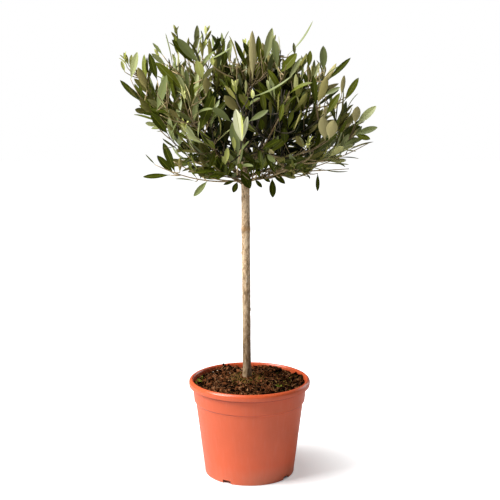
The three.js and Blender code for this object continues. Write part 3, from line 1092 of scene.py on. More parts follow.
def fitted_shoot(number, mass, tip):
    """A shoot whose tip is drawn in, a little at a time, until it keeps to its mass's space."""
    for tries in range(SHOOT_TRIES):
        drawn_in = tip.lerp(BOUGH_LIST[mass].stem.end, SHOOT_DRAW_IN * tries)
        curve = shoot_curve(mass, drawn_in)
        places = curve.points(10)[1:]
        rooms = [SHOOT_RADIUS] * len(places)
        inside = all(in_space(mass, place) for place in places)
        if inside and clear_of_limbs(np.array(places), rooms):
            return Shoot(number, mass, curve)
    return None


def main_shoots():
    """The source's shoots, in its order and with its random draws."""
    shoots = []
    number = 0
    for count, layer_reach in ((OUTER_SHOOTS, 1), (INNER_SHOOTS, INNER_REACH)):
        for i in range(count):
            draw = seeded(number + 1)
            direction = spread(i, count, SHOOT_LOWEST_RISE)
            tip = shell(direction, layer_reach * (TIP_REACH + TIP_REACH_SPREAD * draw()))
            apart = [(bough.middle - tip).length for bough in BOUGH_LIST]
            shoots.append(fitted_shoot(number, apart.index(min(apart)), tip))
            number += 1
    return [shoot for shoot in shoots if shoot]


# A leader's run on from its stem, its rise and its bend, as shares of the way to the surface
LEADER_RUN = 0.7
LEADER_RISE = 0.25
LEADER_BEND = 0.4


def leader_shoots():
    """The end of each stem, grown on towards the crown's surface."""
    shoots = []
    for k, bough in enumerate(BOUGH_LIST):
        root = bough.stem.end
        ahead = bough.stem.heading(1)
        reach = (bough.whole.end - root).length
        tip = root + ahead * reach * LEADER_RUN + Z_AXIS * reach * LEADER_RISE
        curve = Curve(root, root + ahead * reach * LEADER_BEND, tip)
        shoots.append(Shoot(FIRST_SHOOT["leader"] + k, k, curve))
    return shoots


# Inner shoots: every third is on a bough. Spans of their place and length, slant in degrees
BOUGH_TURN = 3
ON_BOUGH = (0.55, 0.4)
ON_STEM = (0.05, 0.8)
INNER_SLANT = 62
INNER_LENGTH = (26, 34)
INNER_CLIMB = 0.12
INNER_FLOOR_ROOM = 5

# Inner shoots' leaves are painted shade up to this many times the heart's size, and then deep
# green, also as painted shade
INNER_DARK = 1.1
INNER_DEEP = 1.35


def inner_shoots(count_each):
    """Short shoots along each stem and bough that fill the crown's inside, painted dark as shade
    near its heart.
    """
    shoots = []
    for k, bough in enumerate(BOUGH_LIST):
        for i in range(count_each):
            number = FIRST_SHOOT["inner"] + k * count_each + i
            draw = seeded(number)
            on_bough = i % BOUGH_TURN == 0
            host = bough.curve if on_bough else bough.stem
            share = ranged(ON_BOUGH if on_bough else ON_STEM, draw)
            turn = i * GOLDEN_ANGLE + draw()
            along, _ = slanted(host, share, turn, math.radians(INNER_SLANT), draw)
            length = ranged(INNER_LENGTH, draw)
            root = host.at(share)
            end = root + along * length + Z_AXIS * INNER_CLIMB * length
            if end.z < leaf_floor(end.x, end.y) + INNER_FLOOR_ROOM:
                continue
            curve = Curve(root, root + along * 0.5 * length, end)
            depth = heart_share(end)
            tone = "shade" if depth < INNER_DARK else "deep" if depth < INNER_DEEP else None
            shoots.append(Shoot(number, k, curve, False, tone))
    return shoots


# A twig that climbs less steeply than this costs more when its root is chosen
GOOD_CLIMB = 0.3


def nearest_root(hosts, place, wanted):
    """The shoot and the place along it from which a twig of a wanted length best grows."""
    best = None
    for host in hosts:
        for root in host.curve.points(10)[3:10]:
            reach = (place - root).length
            climb = (place.z - root.z) / max(reach, 1)
            cost = abs(reach - wanted) + wanted * max(0, GOOD_CLIMB - climb)
            if best is None or cost < best[0]:
                best = (cost, host, root)
    return best[1:]


def reaching_shoot(number, hosts, place, wanted):
    """A shoot that grows from one of the host shoots to a place."""
    host, root = nearest_root(hosts, place, wanted)
    bend = root.lerp(place, 0.5) - Z_AXIS * REACHING_SAG * (place - root).length
    return Shoot(number, host.mass, Curve(root, bend, place), False)


def guided_shoot(number, start, bend, end, tone=None):
    """A shoot that bends and ends at set places, from the limb or stem nearest its start."""
    roots = []
    for k, bough in enumerate(BOUGH_LIST):
        for curve in (bough.curve, bough.stem):
            roots += [(k, root) for root in curve.points(12)[2:]]
    mass, root = min(roots, key=lambda item: (item[1] - Vector(start)).length)
    return Shoot(number, mass, Curve(root, Vector(bend), Vector(end)), False, tone)


def heart_share(place):
    """How far out from the crown's dark heart a place lies: 1 at the heart's edge."""
    offset = place - HEART
    return math.hypot(offset.x / HEART_WIDE, offset.y / HEART_WIDE, offset.z / HEART_HIGH)


def slanted(curve, share, turn, slant, draw):
    """A heading away from a curve at a slant, and the upper side of what points that way."""
    ahead = curve.heading(share)
    side = ahead.cross(Z_AXIS)
    if side.length < 0.1:
        side = ahead.cross(X_AXIS)
    side.normalize()
    side.rotate(Quaternion(ahead, turn + LEAF_TURN_SPREAD * (draw() - 0.5)))
    along = ahead * math.cos(slant) + side * math.sin(slant)
    raised = smoothstep(curve.at(share).z, LEAF_LIFT_LOW_Z, LEAF_LIFT_HIGH_Z)
    lift = lerp(LEAF_LIFT_LOW, LEAF_LIFT_HIGH, raised)
    along.z += lift + LEAF_LIFT_SPREAD * (draw() - 0.5)
    along.normalize()
    face = (ahead - along * ahead.dot(along)).normalized()
    face.rotate(Quaternion(along, LEAF_ROLL_SPREAD * (draw() - 0.5)))
    return along, face


def leaf_floor(x, y):
    """The least height of twigs and leaves at a place. The crown's underside rises outwards."""
    return LEAF_FLOOR_Z + LEAF_FLOOR_RISE * np.hypot(x, y)


class Leaf:
    """One leaf: where it grows, how it lies, its size and its tone."""

    def __init__(self, root, along, face, length, width, tone, mass, draw):
        self.root, self.along, self.face = root, along, face
        self.length, self.width = length, width
        self.tone, self.mass = tone, mass
        self.bow = lerp(*LEAF_BOW, draw())
        self.fold = math.radians(lerp(*LEAF_FOLD, draw()))
        self.twist = LEAF_TWIST * (draw() - 0.5)
        self.sway = LEAF_SWAY * (draw() - 0.5)

    def aim(self):
        """Turns the leaf back by half its bow, so that its tip lies where it points."""
        half = self.bow / 2
        along, face = self.along, self.face
        self.along = along * math.cos(half) + face * math.sin(half)
        self.face = face * math.cos(half) - along * math.sin(half)

    def line(self, shares):
        """Points on the unbent leaf's middle line, at shares of its length."""
        return np.array(self.root) + np.array(self.along) * self.length * shares[:, None]

    def fits(self):
        """True if the leaf is clear of the limbs, near the part's box and not too low."""
        shares = np.arange(1, 9) / 8
        line = self.line(shares)
        rooms = self.width * (1 - np.abs(2 * shares - 1)) / 2
        low = np.array(CAD_BOX[0]) / MM - BOX_ROOM
        high = np.array(CAD_BOX[1]) / MM + BOX_ROOM
        floor = leaf_floor(line[:, 0], line[:, 1])
        in_box = ((line > low) & (line < high)).all() and (line[:, 2] > floor).all()
        return bool(in_box) and clear_of_limbs(line, rooms)


# A leaf's colours: its upper side, its midrib and its underside
LEAF_COLORS = {
    "shade_upper": (0.006, 0.010, 0.001),
    "deep_upper": (0.047, 0.059, 0.004),
    "moss_upper": (0.124, 0.141, 0.010),
    "grey_upper": (0.200, 0.232, 0.080),
    "silver_upper": (0.365, 0.392, 0.160),
    "young_upper": (0.46, 0.48, 0.12),
    "cream_upper": (0.95, 0.96, 0.62),
    "rib_green": (0.21, 0.24, 0.06),
    "rib_pale": (0.52, 0.54, 0.22),
    "shade_under": (0.022, 0.022, 0.002),
    "olive_under": (0.190, 0.180, 0.045),
    "khaki_under": (0.25, 0.218, 0.075),
    "pale_under": (0.50, 0.44, 0.20),
    "silver_under": (0.38, 0.38, 0.15),
    "young_under": (0.54, 0.55, 0.20),
}
COLOR_NAMES = list(LEAF_COLORS)
LEAF_TONES = {
    "shade": ("shade_upper", "shade_upper", "shade_under"),
    "deep": ("deep_upper", "moss_upper", "olive_under"),
    "moss": ("moss_upper", "rib_green", "olive_under"),
    "grey": ("grey_upper", "rib_green", "olive_under"),
    "silver": ("silver_upper", "silver_upper", "silver_under"),
    "khaki": ("moss_upper", "rib_green", "khaki_under"),
    "pale": ("grey_upper", "rib_green", "pale_under"),
    "young": ("young_upper", "rib_pale", "young_under"),
    "cream": ("cream_upper", "rib_pale", "cream_upper"),
}

# Places of the tight tufts of young leaves, in millimetres
TUFT_PLACES = (
    (-182, -20, 636),
    (-104, -30, 674),
    (-130, -30, 642),
    (-66, -30, 674),
    (-20, -130, 596),
    (5, -130, 588),
    (-91, -100, 540),
)

# Single leaves that stand out: foot, tip, width and tone
LONE_LEAVES = (
    ((-11, -172, 535), (-18, -176, 577), 15, "cream"),
    ((-11, -178, 537), (-12, -183, 574), 6, "young"),
    ((-10, -176, 537), (-3, -178, 568), 8, "cream"),
    ((-20, -168, 523), (-22, -170, 541), 6, "young"),
    ((-33, -166, 504), (-30, -168, 526), 8, "young"),
    ((-33, -166, 504), (-37, -168, 515), 6, "young"),
    ((-65, -130, 620), (-72, -134, 643), 14, "young"),
    ((-51, -125, 638), (-52, -126, 649), 7, "young"),
    ((-186, -20, 630), (-190, -24, 645), 6, "young"),
    ((58, -14, 656), (92, -16, 702), 6, "grey"),
    ((-69, -96, 644), (-24, -100, 667), 5, "grey"),
    ((-1, -160, 595), (55, -150, 623), 6, "grey"),
    ((5, -80, 619), (4, -84, 683), 12, "pale"),
    ((22, -60, 644), (32, -64, 689), 13, "silver"),
    ((14, -50, 644), (13, -54, 679), 10, "moss"),
    ((41, -70, 636), (35, -74, 675), 11, "grey"),
    ((3, -40, 649), (-8, -44, 671), 9, "deep"),
    ((-3, -60, 635), (-20, -64, 672), 8, "deep"),
    ((-31, -50, 646), (-28, -54, 674), 9, "silver"),
    ((-38, -60, 639), (-35, -64, 658), 11, "deep"),
    ((-73, -70, 642), (-102, -74, 675), 15, "grey"),
    ((-79, -68, 640), (-109, -72, 673), 12, "deep"),
    ((-88, -60, 646), (-115, -64, 671), 4, "grey"),
    ((-123, -50, 641), (-141, -54, 655), 9, "silver"),
    ((-135, -50, 617), (-145, -54, 654), 12, "deep"),
    ((-175, -40, 619), (-165, -44, 656), 12, "silver"),
    ((-150, -50, 603), (-162, -54, 634), 13, "khaki"),
    ((87, -40, 636), (89, -44, 659), 9, "moss"),
    ((109, -40, 631), (108, -44, 665), 13, "grey"),
    ((116, -40, 618), (146, -44, 648), 9, "deep"),
    ((137, -30, 595), (140, -34, 623), 8, "pale"),
    ((141, -30, 587), (160, -34, 619), 11, "moss"),
    ((157, -36, 554), (160, -40, 578), 14, "pale"),
    ((159, -34, 552), (186, -38, 578), 14, "silver"),
    ((157, -36, 538), (188, -40, 548), 12, "grey"),
    ((157, -38, 538), (178, -42, 532), 10, "moss"),
    ((146, -30, 512), (183, -34, 526), 5, "khaki"),
    ((109, -30, 486), (146, -34, 483), 4, "grey"),
    ((107, -120, 534), (103, -124, 566), 17, "pale"),
    ((112, -123, 535), (118, -127, 561), 18, "pale"),
    ((80, -110, 522), (67, -112, 539), 11, "khaki"),
    ((-13, -40, 486), (0, -44, 460), 17, "deep"),
    ((96, -110, 585), (108, -114, 620), 14, "khaki"),
    ((94, -106, 584), (90, -110, 622), 11, "deep"),
    ((-133, -90, 575), (-119, -94, 622), 14, "grey"),
    ((-70, -140, 547), (-51, -144, 594), 17, "deep"),
    ((-15, -165, 516), (-23, -169, 558), 15, "grey"),
    ((-13, -150, 575), (-33, -154, 596), 15, "khaki"),
    ((-25, -150, 562), (-49, -154, 580), 12, "grey"),
    ((-1, -150, 562), (24, -154, 577), 9, "grey"),
    ((-59, -140, 598), (-59, -144, 621), 12, "khaki"),
    ((-138, -40, 551), (-153, -44, 555), 8, "silver"),
    ((-136, -40, 566), (-158, -44, 570), 5, "deep"),
    ((-111, -40, 481), (-127, -42, 523), 13, "deep"),
    ((-113, -40, 479), (-136, -42, 505), 12, "deep"),
    ((-104, -44, 482), (-103, -48, 503), 7, "khaki"),
    ((-119, -42, 478), (-156, -46, 476), 9, "deep"),
    ((-80, -50, 469), (-109, -54, 473), 4, "grey"),
    ((-62, -60, 471), (-81, -64, 450), 10, "grey"),
    ((34, -36, 473), (35, -40, 446), 12, "deep"),
    ((-18, -30, 467), (-24, -34, 452), 10, "deep"),
    ((-21, -30, 469), (-38, -34, 463), 6, "deep"),
    ((18, -36, 477), (30, -40, 468), 7, "deep"),
    ((33, -36, 482), (52, -40, 466), 10, "deep"),
    ((8, -36, 471), (18, -40, 460), 7, "deep"),
    ((103, -26, 479), (103, -28, 454), 7, "deep"),
    ((44, -80, 628), (66, -84, 654), 15, "moss"),
    ((56, -70, 619), (73, -74, 648), 8, "silver"),
    ((67, -30, 654), (65, -34, 671), 6, "silver"),
    ((-96, -60, 603), (-133, -64, 641), 15, "moss"),
    ((110, -50, 596), (131, -54, 607), 8, "grey"),
    ((112, -60, 567), (130, -64, 597), 11, "moss"),
    ((-119, -60, 539), (-143, -64, 569), 14, "deep"),
    ((15, -120, 567), (17, -124, 550), 12, "deep"),
    ((50, -110, 530), (49, -114, 550), 12, "deep"),
    ((22, -120, 572), (17, -124, 600), 10, "moss"),
    ((-180, -20, 640), (-186, -24, 657), 7, "young"),
    ((-178, -20, 638), (-175, -24, 654), 6, "young"),
)

# Young leaves are this much broader for their length than grown ones
YOUNG_BROAD = 1.5

# Other leaves keep this far from the front of a leaf that stands out
LONE_ROOM = 7

# Usual lengths of the twigs that carry a single leaf and a tuft, and how far they sag
LONE_TWIG = 12
TUFT_TWIG = 34
REACHING_SAG = 0.12

# A leaf's pointed end reaches this share past the tip that is seen from afar
TIP_ROOM = 1.08

# A leaf seen from afar looks wider than it is
LONE_WIDTH = 0.88

# The crown's heart, where leaves and twigs are painted dark as shade. Up to a reach of this many
# times its size, this share of the leaves is deep green, also as painted shade
HEART = Vector((8, 0, 546))
HEART_WIDE = 100
HEART_HIGH = 52
DEEP_REACH = 1.4
DEEP_SHARE = 0.6

# The crown is more open at the front, where its dark inside is seen
OPEN_PLACE = Vector((-6, -140, 562))
OPEN_RADIUS = 56
OPEN_SHARE = 0.2

# Short dark shoots low in the crown's middle: the places where each starts, bends and ends
LOW_SHOOTS = (
    ((-10, -10, 470), (-36, -50, 474), (-52, -84, 496)),
    ((0, -10, 470), (12, -60, 474), (14, -98, 500)),
    ((6, -10, 472), (44, -50, 476), (70, -80, 500)),
    ((10, -6, 474), (60, -24, 474), (96, -50, 498)),
    ((-14, -6, 474), (-60, -20, 478), (-92, -40, 506)),
    ((-10, -10, 466), (-28, -44, 472), (-34, -76, 482)),
    ((8, -8, 468), (30, -44, 472), (40, -76, 484)),
    ((0, -8, 466), (0, -50, 470), (-10, -88, 484)),
    ((8, -8, 468), (50, -30, 474), (76, -56, 484)),
    ((-12, -10, 470), (-44, -30, 477), (-66, -44, 489)),
    ((-8, -10, 468), (-24, -36, 475), (-46, -60, 488)),
    ((-4, -10, 470), (-14, -40, 478), (-22, -72, 493)),
    ((2, -10, 470), (4, -40, 477), (8, -72, 491)),
    ((6, -10, 470), (26, -34, 477), (34, -60, 494)),
)

# The crown's ragged top: the share of leaves left out, none below the first height
TOP_GAPS = 0.6
TOP_GAPS_Z = 636
TOP_GAPS_FULL_Z = 668

# Long shoots that stand out: the places where each starts, bends and ends
LONG_SHOOTS = (
    ((-16, -6, 464), (-77, -40, 462), (-140, -50, 494)),
    ((-16, -6, 464), (-60, -40, 466), (-112, -62, 500)),
    ((6, -6, 466), (95, -30, 478), (178, -34, 525)),
    ((60, -16, 480), (100, -24, 482), (150, -28, 486)),
    ((6, -8, 466), (40, -36, 474), (52, -60, 520)),
    ((-20, -20, 466), (-20, -116, 480), (-10, -170, 536)),
    ((-20, -50, 536), (-14, -96, 552), (-4, -104, 606)),
    ((30, -20, 560), (42, -44, 610), (46, -40, 662)),
    ((40, -40, 560), (36, -100, 572), (30, -118, 612)),
    ((40, -40, 560), (62, -90, 560), (70, -108, 604)),
    ((30, -30, 580), (50, -80, 600), (52, -92, 640)),
)


# Khaki sprays that are pale below: the share of them, and what is added at the lower right, partly
# as painted light
PALE_SHARE = 0.3
PALE_LOW_RIGHT = 0.3

# A leaf has its spray's own tone in this share of cases
KEPT_TONE = 0.68

# The crown's left and right edges, and the heights over which tones change low and high up
CROWN_SIDES = (-120, 160)
CROWN_LOW = (500, 580)
CROWN_HIGH = (560, 650)


def spray_tone(tip, draw):
    """The tone of a spray. The left and top are greyer and more silver, the right and foot more
    olive: partly the leaves' own tints, partly painted light where the key light falls.
    """
    rightness = smoothstep(tip.x, *CROWN_SIDES)
    highness = smoothstep(tip.z, *CROWN_HIGH)
    lowness = 1 - smoothstep(tip.z, *CROWN_LOW)
    khaki = 0.14 + 0.32 * rightness - 0.08 * highness + 0.12 * lowness
    grey = 0.30 - 0.14 * rightness + 0.08 * highness
    # More silver at the top and at the lower right: partly the leaves' own tint, partly painted
    # light
    silver = 0.16 - 0.06 * rightness + 0.18 * highness * (1 - 0.4 * rightness)
    silver += 0.22 * rightness * lowness
    deep = 0.38 - 0.2 * max(highness, rightness)
    pick = draw()
    if pick < khaki:
        pale = PALE_SHARE + PALE_LOW_RIGHT * rightness * lowness
        return "pale" if pick < pale * khaki else "khaki"
    if pick < khaki + grey:
        return "grey"
    if pick < khaki + grey + silver:
        return "silver"
    return "deep" if draw() < deep else "moss"


def leaf_tone(spray, draw):
    """A leaf mostly has its spray's tone, and sometimes another one."""
    if spray in ("young", "cream", "shade") or draw() < KEPT_TONE:
        return spray
    return ("deep", "moss", "grey", "khaki")[int(draw() * 4)]


# The bare share at the foot of each kind of twig, and the size of its leaves
LEAFING = {
    "usual": (0.24, 1),
    "side": (0.2, 0.82),
    "long": (0.45, 0.8),
    "low": (0.2, 0.85),
    "tuft": (0.55, 0.6),
}

# Leaf pairs along a twig: where the last sits, how they shrink, turn and end
LAST_PAIR = 0.96
PAIR_OFFSET = 0.6
PAIR_SHRINK = 0.42
PAIR_SHRINK_FROM = 0.7
PAIR_TURN_SPREAD = 0.3
END_LEAF_SIZE = 0.62

# Twigs that end this high carry fewer leaves: the heights over which the loss grows, and its share
THIN_TOP = (590, 640)
THIN_TOP_SHARE = 0.2

# Side twigs: spans of their place on the shoot, slant in degrees and length
SIDE_PLACES = (0.22, 0.8)
SIDE_SLANT = (44, 14)
SIDE_LENGTHS = (20, 40)
SIDE_FIRST_LENGTH = 1.15
SIDE_SHORTENING = 0.5
SIDE_CLIMB = 0.16
SIDE_BEND = 0.55
SIDE_FLOOR_ROOM = 8
SIDE_RADIUS = 0.7
SIDE_TIP_RADIUS = 0.75

# Tufts: their length, their pairs of leaves, and the first and last leaves' size
TUFT_LENGTH = 14
TUFT_PAIRS = 3
TUFT_PAIR_OFFSET = 0.8
TUFT_SIZES = (0.42, 0.26)
TUFT_TIP_RADIUS = 0.4

# A single leaf that is narrower and longer than this is seen from its edge
EDGE_ON_WIDTH = 7
EDGE_ON_LENGTH = 25

# Bows, bends, twists and facing of single leaves
EDGE_ON_BOW = -0.6
LONE_BOW = 0.25
LONE_TWIST = 0.2
LONE_FRONT_SPREAD = 0.35
LONE_FRONT_RISE = 0.4
EDGE_ON_FRONT = 0.65
LONE_TWIG_RADIUS = 0.8


class Growth:
    """All twigs and leaves of the crown."""

    def __init__(self, settings):
        self.settings = settings
        self.twigs = []
        self.leaves = []
        places = []
        for foot, tip, _, _ in LONE_LEAVES:
            places += [Vector(foot).lerp(Vector(tip), step / 6) for step in range(7)]
        self.lone_places = np.array(places)[None]

    def covers_lone(self, leaf):
        """True if a leaf would hang close in front of a leaf that stands out."""
        line = leaf.line(np.arange(0, 7) / 6)[:, None]
        gaps = np.linalg.norm(line[:, :, (0, 2)] - self.lone_places[:, :, (0, 2)], axis=2)
        ahead = line[:, :, 1] < self.lone_places[:, :, 1] + LONE_ROOM
        return bool(((gaps < LONE_ROOM) & ahead).any())

    def depth_tone(self, root, tone, draw):
        """Leaves are painted darker towards the heart of the crown, as shade."""
        share = heart_share(root)
        if share < 1:
            return "shade"
        return "deep" if share < DEEP_REACH and draw() < DEEP_SHARE else tone

    def add_leaf(self, curve, share, turn, size, tone, mass, draw):
        """Adds a leaf to a twig, or leaves it out where it would not fit."""
        degrees = LEAF_SLANT - LEAF_SLANT_FALL * share + LEAF_SLANT_SPREAD * (draw() - 0.5)
        along, face = slanted(curve, share, turn, math.radians(degrees), draw)
        length = self.settings.leaf_length / MM * size * lerp(*LEAF_LENGTHS, draw())
        broad = YOUNG_BROAD if tone == "young" else 1
        width = length * lerp(*LEAF_WIDTHS, draw()) * broad
        root = curve.at(share)
        tone = self.depth_tone(root, tone, draw)
        leaf = Leaf(root, along, face, length, width, tone, mass, draw)
        sparse = (root + along * length / 2 - OPEN_PLACE).length < OPEN_RADIUS
        if sparse and draw() > OPEN_SHARE:
            return
        tip_z = root.z + along.z * length
        if draw() < TOP_GAPS * smoothstep(tip_z, TOP_GAPS_Z, TOP_GAPS_FULL_Z):
            return
        if leaf.fits() and (tone == "young" or not self.covers_lone(leaf)):
            self.leaves.append(leaf)

    def dress(self, curve, mass, tone, kind, draw):
        """Sets crossed pairs of leaves along a twig, smaller towards its tip."""
        bare, size = LEAFING[kind]
        nodes = max(1, round(curve.length() * (1 - bare) / (self.settings.node_step / MM)))
        turn = math.pi * draw()
        lost = THIN_TOP_SHARE * smoothstep(curve.end.z, *THIN_TOP)
        kept = self.settings.leaf_share * (1 - lost)
        for node in range(nodes):
            share = lerp(bare, LAST_PAIR, (node + PAIR_OFFSET) / nodes)
            fade = 1 - PAIR_SHRINK * smoothstep(share, PAIR_SHRINK_FROM, 1)
            for side in (0, math.pi):
                if draw() < kept:
                    lone = leaf_tone(tone, draw)
                    self.add_leaf(curve, share, turn + side, size * fade, lone, mass, draw)
            turn += math.pi / 2 + PAIR_TURN_SPREAD * (draw() - 0.5)
        self.add_leaf(curve, 1, turn, size * END_LEAF_SIZE, tone, mass, draw)

    def side_twigs(self, shoot, tone, draw):
        """Grows finer twigs from a shoot, each with its own leaves."""
        count = round(shoot.curve.length() / (self.settings.side_twig_step / MM))
        turn = math.tau * draw()
        for i in range(count):
            share = lerp(*SIDE_PLACES, (i + draw()) / max(1, count))
            turn += GOLDEN_ANGLE
            slant = math.radians(ranged(SIDE_SLANT, draw))
            along, _ = slanted(shoot.curve, share, turn, slant, draw)
            reach = lerp(*SIDE_LENGTHS, draw()) * (SIDE_FIRST_LENGTH - SIDE_SHORTENING * share)
            root = shoot.curve.at(share)
            end = root + along * reach + Z_AXIS * reach * SIDE_CLIMB
            if end.z < leaf_floor(end.x, end.y) + SIDE_FLOOR_ROOM:
                continue
            curve = Curve(root, root + along * reach * SIDE_BEND, end)
            radius = lerp(SHOOT_RADIUS, SHOOT_TIP_RADIUS, share) * SIDE_RADIUS
            tip_radius = SHOOT_TIP_RADIUS * SIDE_TIP_RADIUS
            self.twigs.append((curve, radius, tip_radius, "twig_tan"))
            self.dress(curve, shoot.mass, tone, "side", draw)

    def tuft(self, shoot, draw):
        """A tight tuft of small pale leaves at the end of a shoot."""
        end = shoot.curve.end
        top = end + (shoot.curve.heading(1) + Z_AXIS).normalized() * TUFT_LENGTH
        tip = Curve(end, end.lerp(top, 0.5), top)
        self.twigs.append((tip, SHOOT_TIP_RADIUS, TUFT_TIP_RADIUS, "twig_green"))
        turn = math.tau * draw()
        for pair in range(TUFT_PAIRS):
            share = (pair + TUFT_PAIR_OFFSET) / TUFT_PAIRS
            for side in (0, math.pi):
                size = lerp(*TUFT_SIZES, share)
                self.add_leaf(tip, share, turn + side, size, "young", shoot.mass, draw)
            turn += math.pi / 2
        self.add_leaf(tip, 1, turn, TUFT_SIZES[1], "young", shoot.mass, draw)

    def grow(self, shoot, kind):
        """Grows one shoot with its leaves and finer twigs."""
        draw = seeded(SEEDS["shoot"] + shoot.number)
        tone = spray_tone(shoot.curve.end, draw)
        tone = shoot.tone or tone
        self.twigs.append((shoot.curve, SHOOT_RADIUS, SHOOT_TIP_RADIUS, "twig_tan"))
        self.dress(shoot.curve, shoot.mass, tone, kind, draw)
        if shoot.twiggy:
            self.side_twigs(shoot, tone, draw)

    def lone_leaf(self, number, hosts, foot, tip, width, tone):
        """A single leaf that stands out, on a short twig of its own."""
        draw = seeded(SEEDS["lone"] + number)
        root = Vector(foot)
        shoot = reaching_shoot(number, hosts, root, LONE_TWIG)
        run = (Vector(tip) - root) * TIP_ROOM
        along = run.normalized()
        edge_on = width < EDGE_ON_WIDTH and run.length > EDGE_ON_LENGTH
        face = Vector((LONE_FRONT_SPREAD * (draw() - 0.5), -1, LONE_FRONT_RISE))
        if edge_on:
            face = along.cross(Y_AXIS) + face * EDGE_ON_FRONT
        face = (face - along * face.dot(along)).normalized()
        if tone in ("khaki", "pale"):
            face = -face
        leaf = Leaf(root, along, face, run.length, width * LONE_WIDTH, tone, shoot.mass, draw)
        leaf.bow = EDGE_ON_BOW if edge_on else LONE_BOW * leaf.bow
        leaf.sway = 0
        leaf.twist *= LONE_TWIST
        leaf.aim()
        radius = SHOOT_RADIUS * LONE_TWIG_RADIUS
        self.twigs.append((shoot.curve, radius, SHOOT_TIP_RADIUS, "twig_tan"))
        self.leaves.append(leaf)


def grown_crown(settings):
    """Grows the whole crown by the source's rule and carries it on to finer twigs."""
    growth = Growth(settings)
    outer = main_shoots() + leader_shoots()
    usual = outer + inner_shoots(settings.inner_count)
    long = [guided_shoot(FIRST_SHOOT["long"] + i, *row) for i, row in enumerate(LONG_SHOOTS)]
    low = [guided_shoot(FIRST_SHOOT["low"] + i, *row, "deep") for i, row in enumerate(LOW_SHOOTS)]
    for kind, shoots in {"usual": usual, "long": long, "low": low}.items():
        for shoot in shoots:
            growth.grow(shoot, kind)
    for i, place in enumerate(TUFT_PLACES):
        shoot = reaching_shoot(FIRST_SHOOT["tuft"] + i, outer, Vector(place), TUFT_TWIG)
        growth.grow(shoot, "tuft")
        growth.tuft(shoot, seeded(shoot.number))
    for i, row in enumerate(LONE_LEAVES):
        growth.lone_leaf(FIRST_SHOOT["lone"] + i, outer + long + low, *row)
    for shoot in outer:
        if seeded(SEEDS["young"] + shoot.number)() < settings.young_share:
            growth.tuft(shoot, seeded(SEEDS["young_tuft"] + shoot.number))
    return growth


# The dark and the brown twig colours are painted shade for twigs inside the crown; tan and green
# are the twigs' own
TWIG_COLORS = {
    "twig_tan": (0.42, 0.31, 0.15),
    "twig_green": (0.34, 0.36, 0.12),
    "twig_painted_half_shade": (0.17, 0.12, 0.05),
    "twig_painted_shade": (0.035, 0.024, 0.009),
}
TWIG_NAMES = list(TWIG_COLORS)

# A twig's facets, the length of each, their least number, and the swelling where leaves sit
TWIG_SIDES = 6
TWIG_STEP = 6
TWIG_LEAST_STEPS = 4
TWIG_SWELL = 0.14

# Twigs below this height and farther out than this radius catch the light
LOW_TWIG_Z = 506
LOW_TWIG_RADIUS = 48

# Twigs are painted dark as shade up to this many times the heart's or the opening's size, and then
# brown, a lighter painted shade
TWIG_DARK = 1.15
TWIG_BROWN = 1.6


def tube_points(curve, first_radius, last_radius, steps):
    """The rings of points of one twig, slightly thicker where its leaves sit."""
    points = []
    normal = curve.heading(0).orthogonal().normalized()
    for step in range(steps + 1):
        share = step / steps
        heading = curve.heading(share)
        normal = (normal - heading * normal.dot(heading)).normalized()
        swell = 1 + TWIG_SWELL * (step % 2)
        radius = lerp(first_radius, last_radius, share) * swell
        for side in range(TWIG_SIDES):
            turn = Quaternion(heading, math.tau * side / TWIG_SIDES)
            points.append(curve.at(share) + (turn @ normal) * radius)
    return points


def twig_tone(curve, tone):
    """Twigs are painted darker towards the heart of the crown and in the front opening, as shade.
    """
    middle = curve.at(0.4)
    if middle.z < LOW_TWIG_Z and math.hypot(middle.x, middle.y) > LOW_TWIG_RADIUS:
        return tone
    share = heart_share(middle)
    if share < TWIG_DARK or (middle - OPEN_PLACE).length < TWIG_DARK * OPEN_RADIUS:
        return "twig_painted_shade"
    return "twig_painted_half_shade" if share < TWIG_BROWN else tone


def twig_mesh(twigs):
    """All twigs as one joined mesh."""
    batch = Batch()
    for curve, first_radius, last_radius, tone in twigs:
        steps = max(TWIG_LEAST_STEPS, round(curve.length() / TWIG_STEP))
        points = tube_points(curve, first_radius, last_radius, steps)
        faces = tube_faces(steps + 1, TWIG_SIDES)
        batch.add(points, faces, TWIG_NAMES.index(twig_tone(curve, tone)))
    return batch.mesh("twigs", SHARP["none"])


# A leaf's cross-section. For each point: its share of the half width, how deep it lies beneath the
# blade, whether it lies in the midrib's groove, and which of the three colours follows it
SECTION = np.array([-1, -0.07, 0.07, 1, 0])
UNDER = np.array([0, 0, 0, 0, 1.7])
RIB_GROOVE = np.array([0, 1, 1, 0, 0])
SECTION_COLORS = (0, 1, 0, 2, 2)

# Stations along a leaf from its stalk to its tip, and the share of its half width at each
STATIONS = np.array([0, 0.07, 0.14, 0.27, 0.42, 0.57, 0.72, 0.85, 0.94, 1])
OUTLINE = np.array([0, 0, 0.28, 0.66, 0.92, 1, 0.92, 0.67, 0.36, 0.04])

LEAF_THICKNESS = 0.34
STALK_RADIUS = 0.5
TIP_RADIUS = 0.12
GROOVE_DEPTH = 0.18
EDGE_CURL = 0.012
THIN_EDGE = 1.2
LEAST_BOW = 0.02


def leaf_faces():
    """One leaf's faces, and for each face which of its three colours it takes."""
    around = len(SECTION)
    faces = []
    for ring in range(len(STATIONS) - 1):
        for i in range(around):
            a = ring * around + i
            b = ring * around + (i + 1) % around
            faces.append((a, a + around, b + around, b))
    last = (len(STATIONS) - 1) * around
    faces.append(tuple(range(around)))
    faces.append(tuple(reversed(range(last, last + around))))
    return faces, SECTION_COLORS * (len(STATIONS) - 1) + (2, 0)


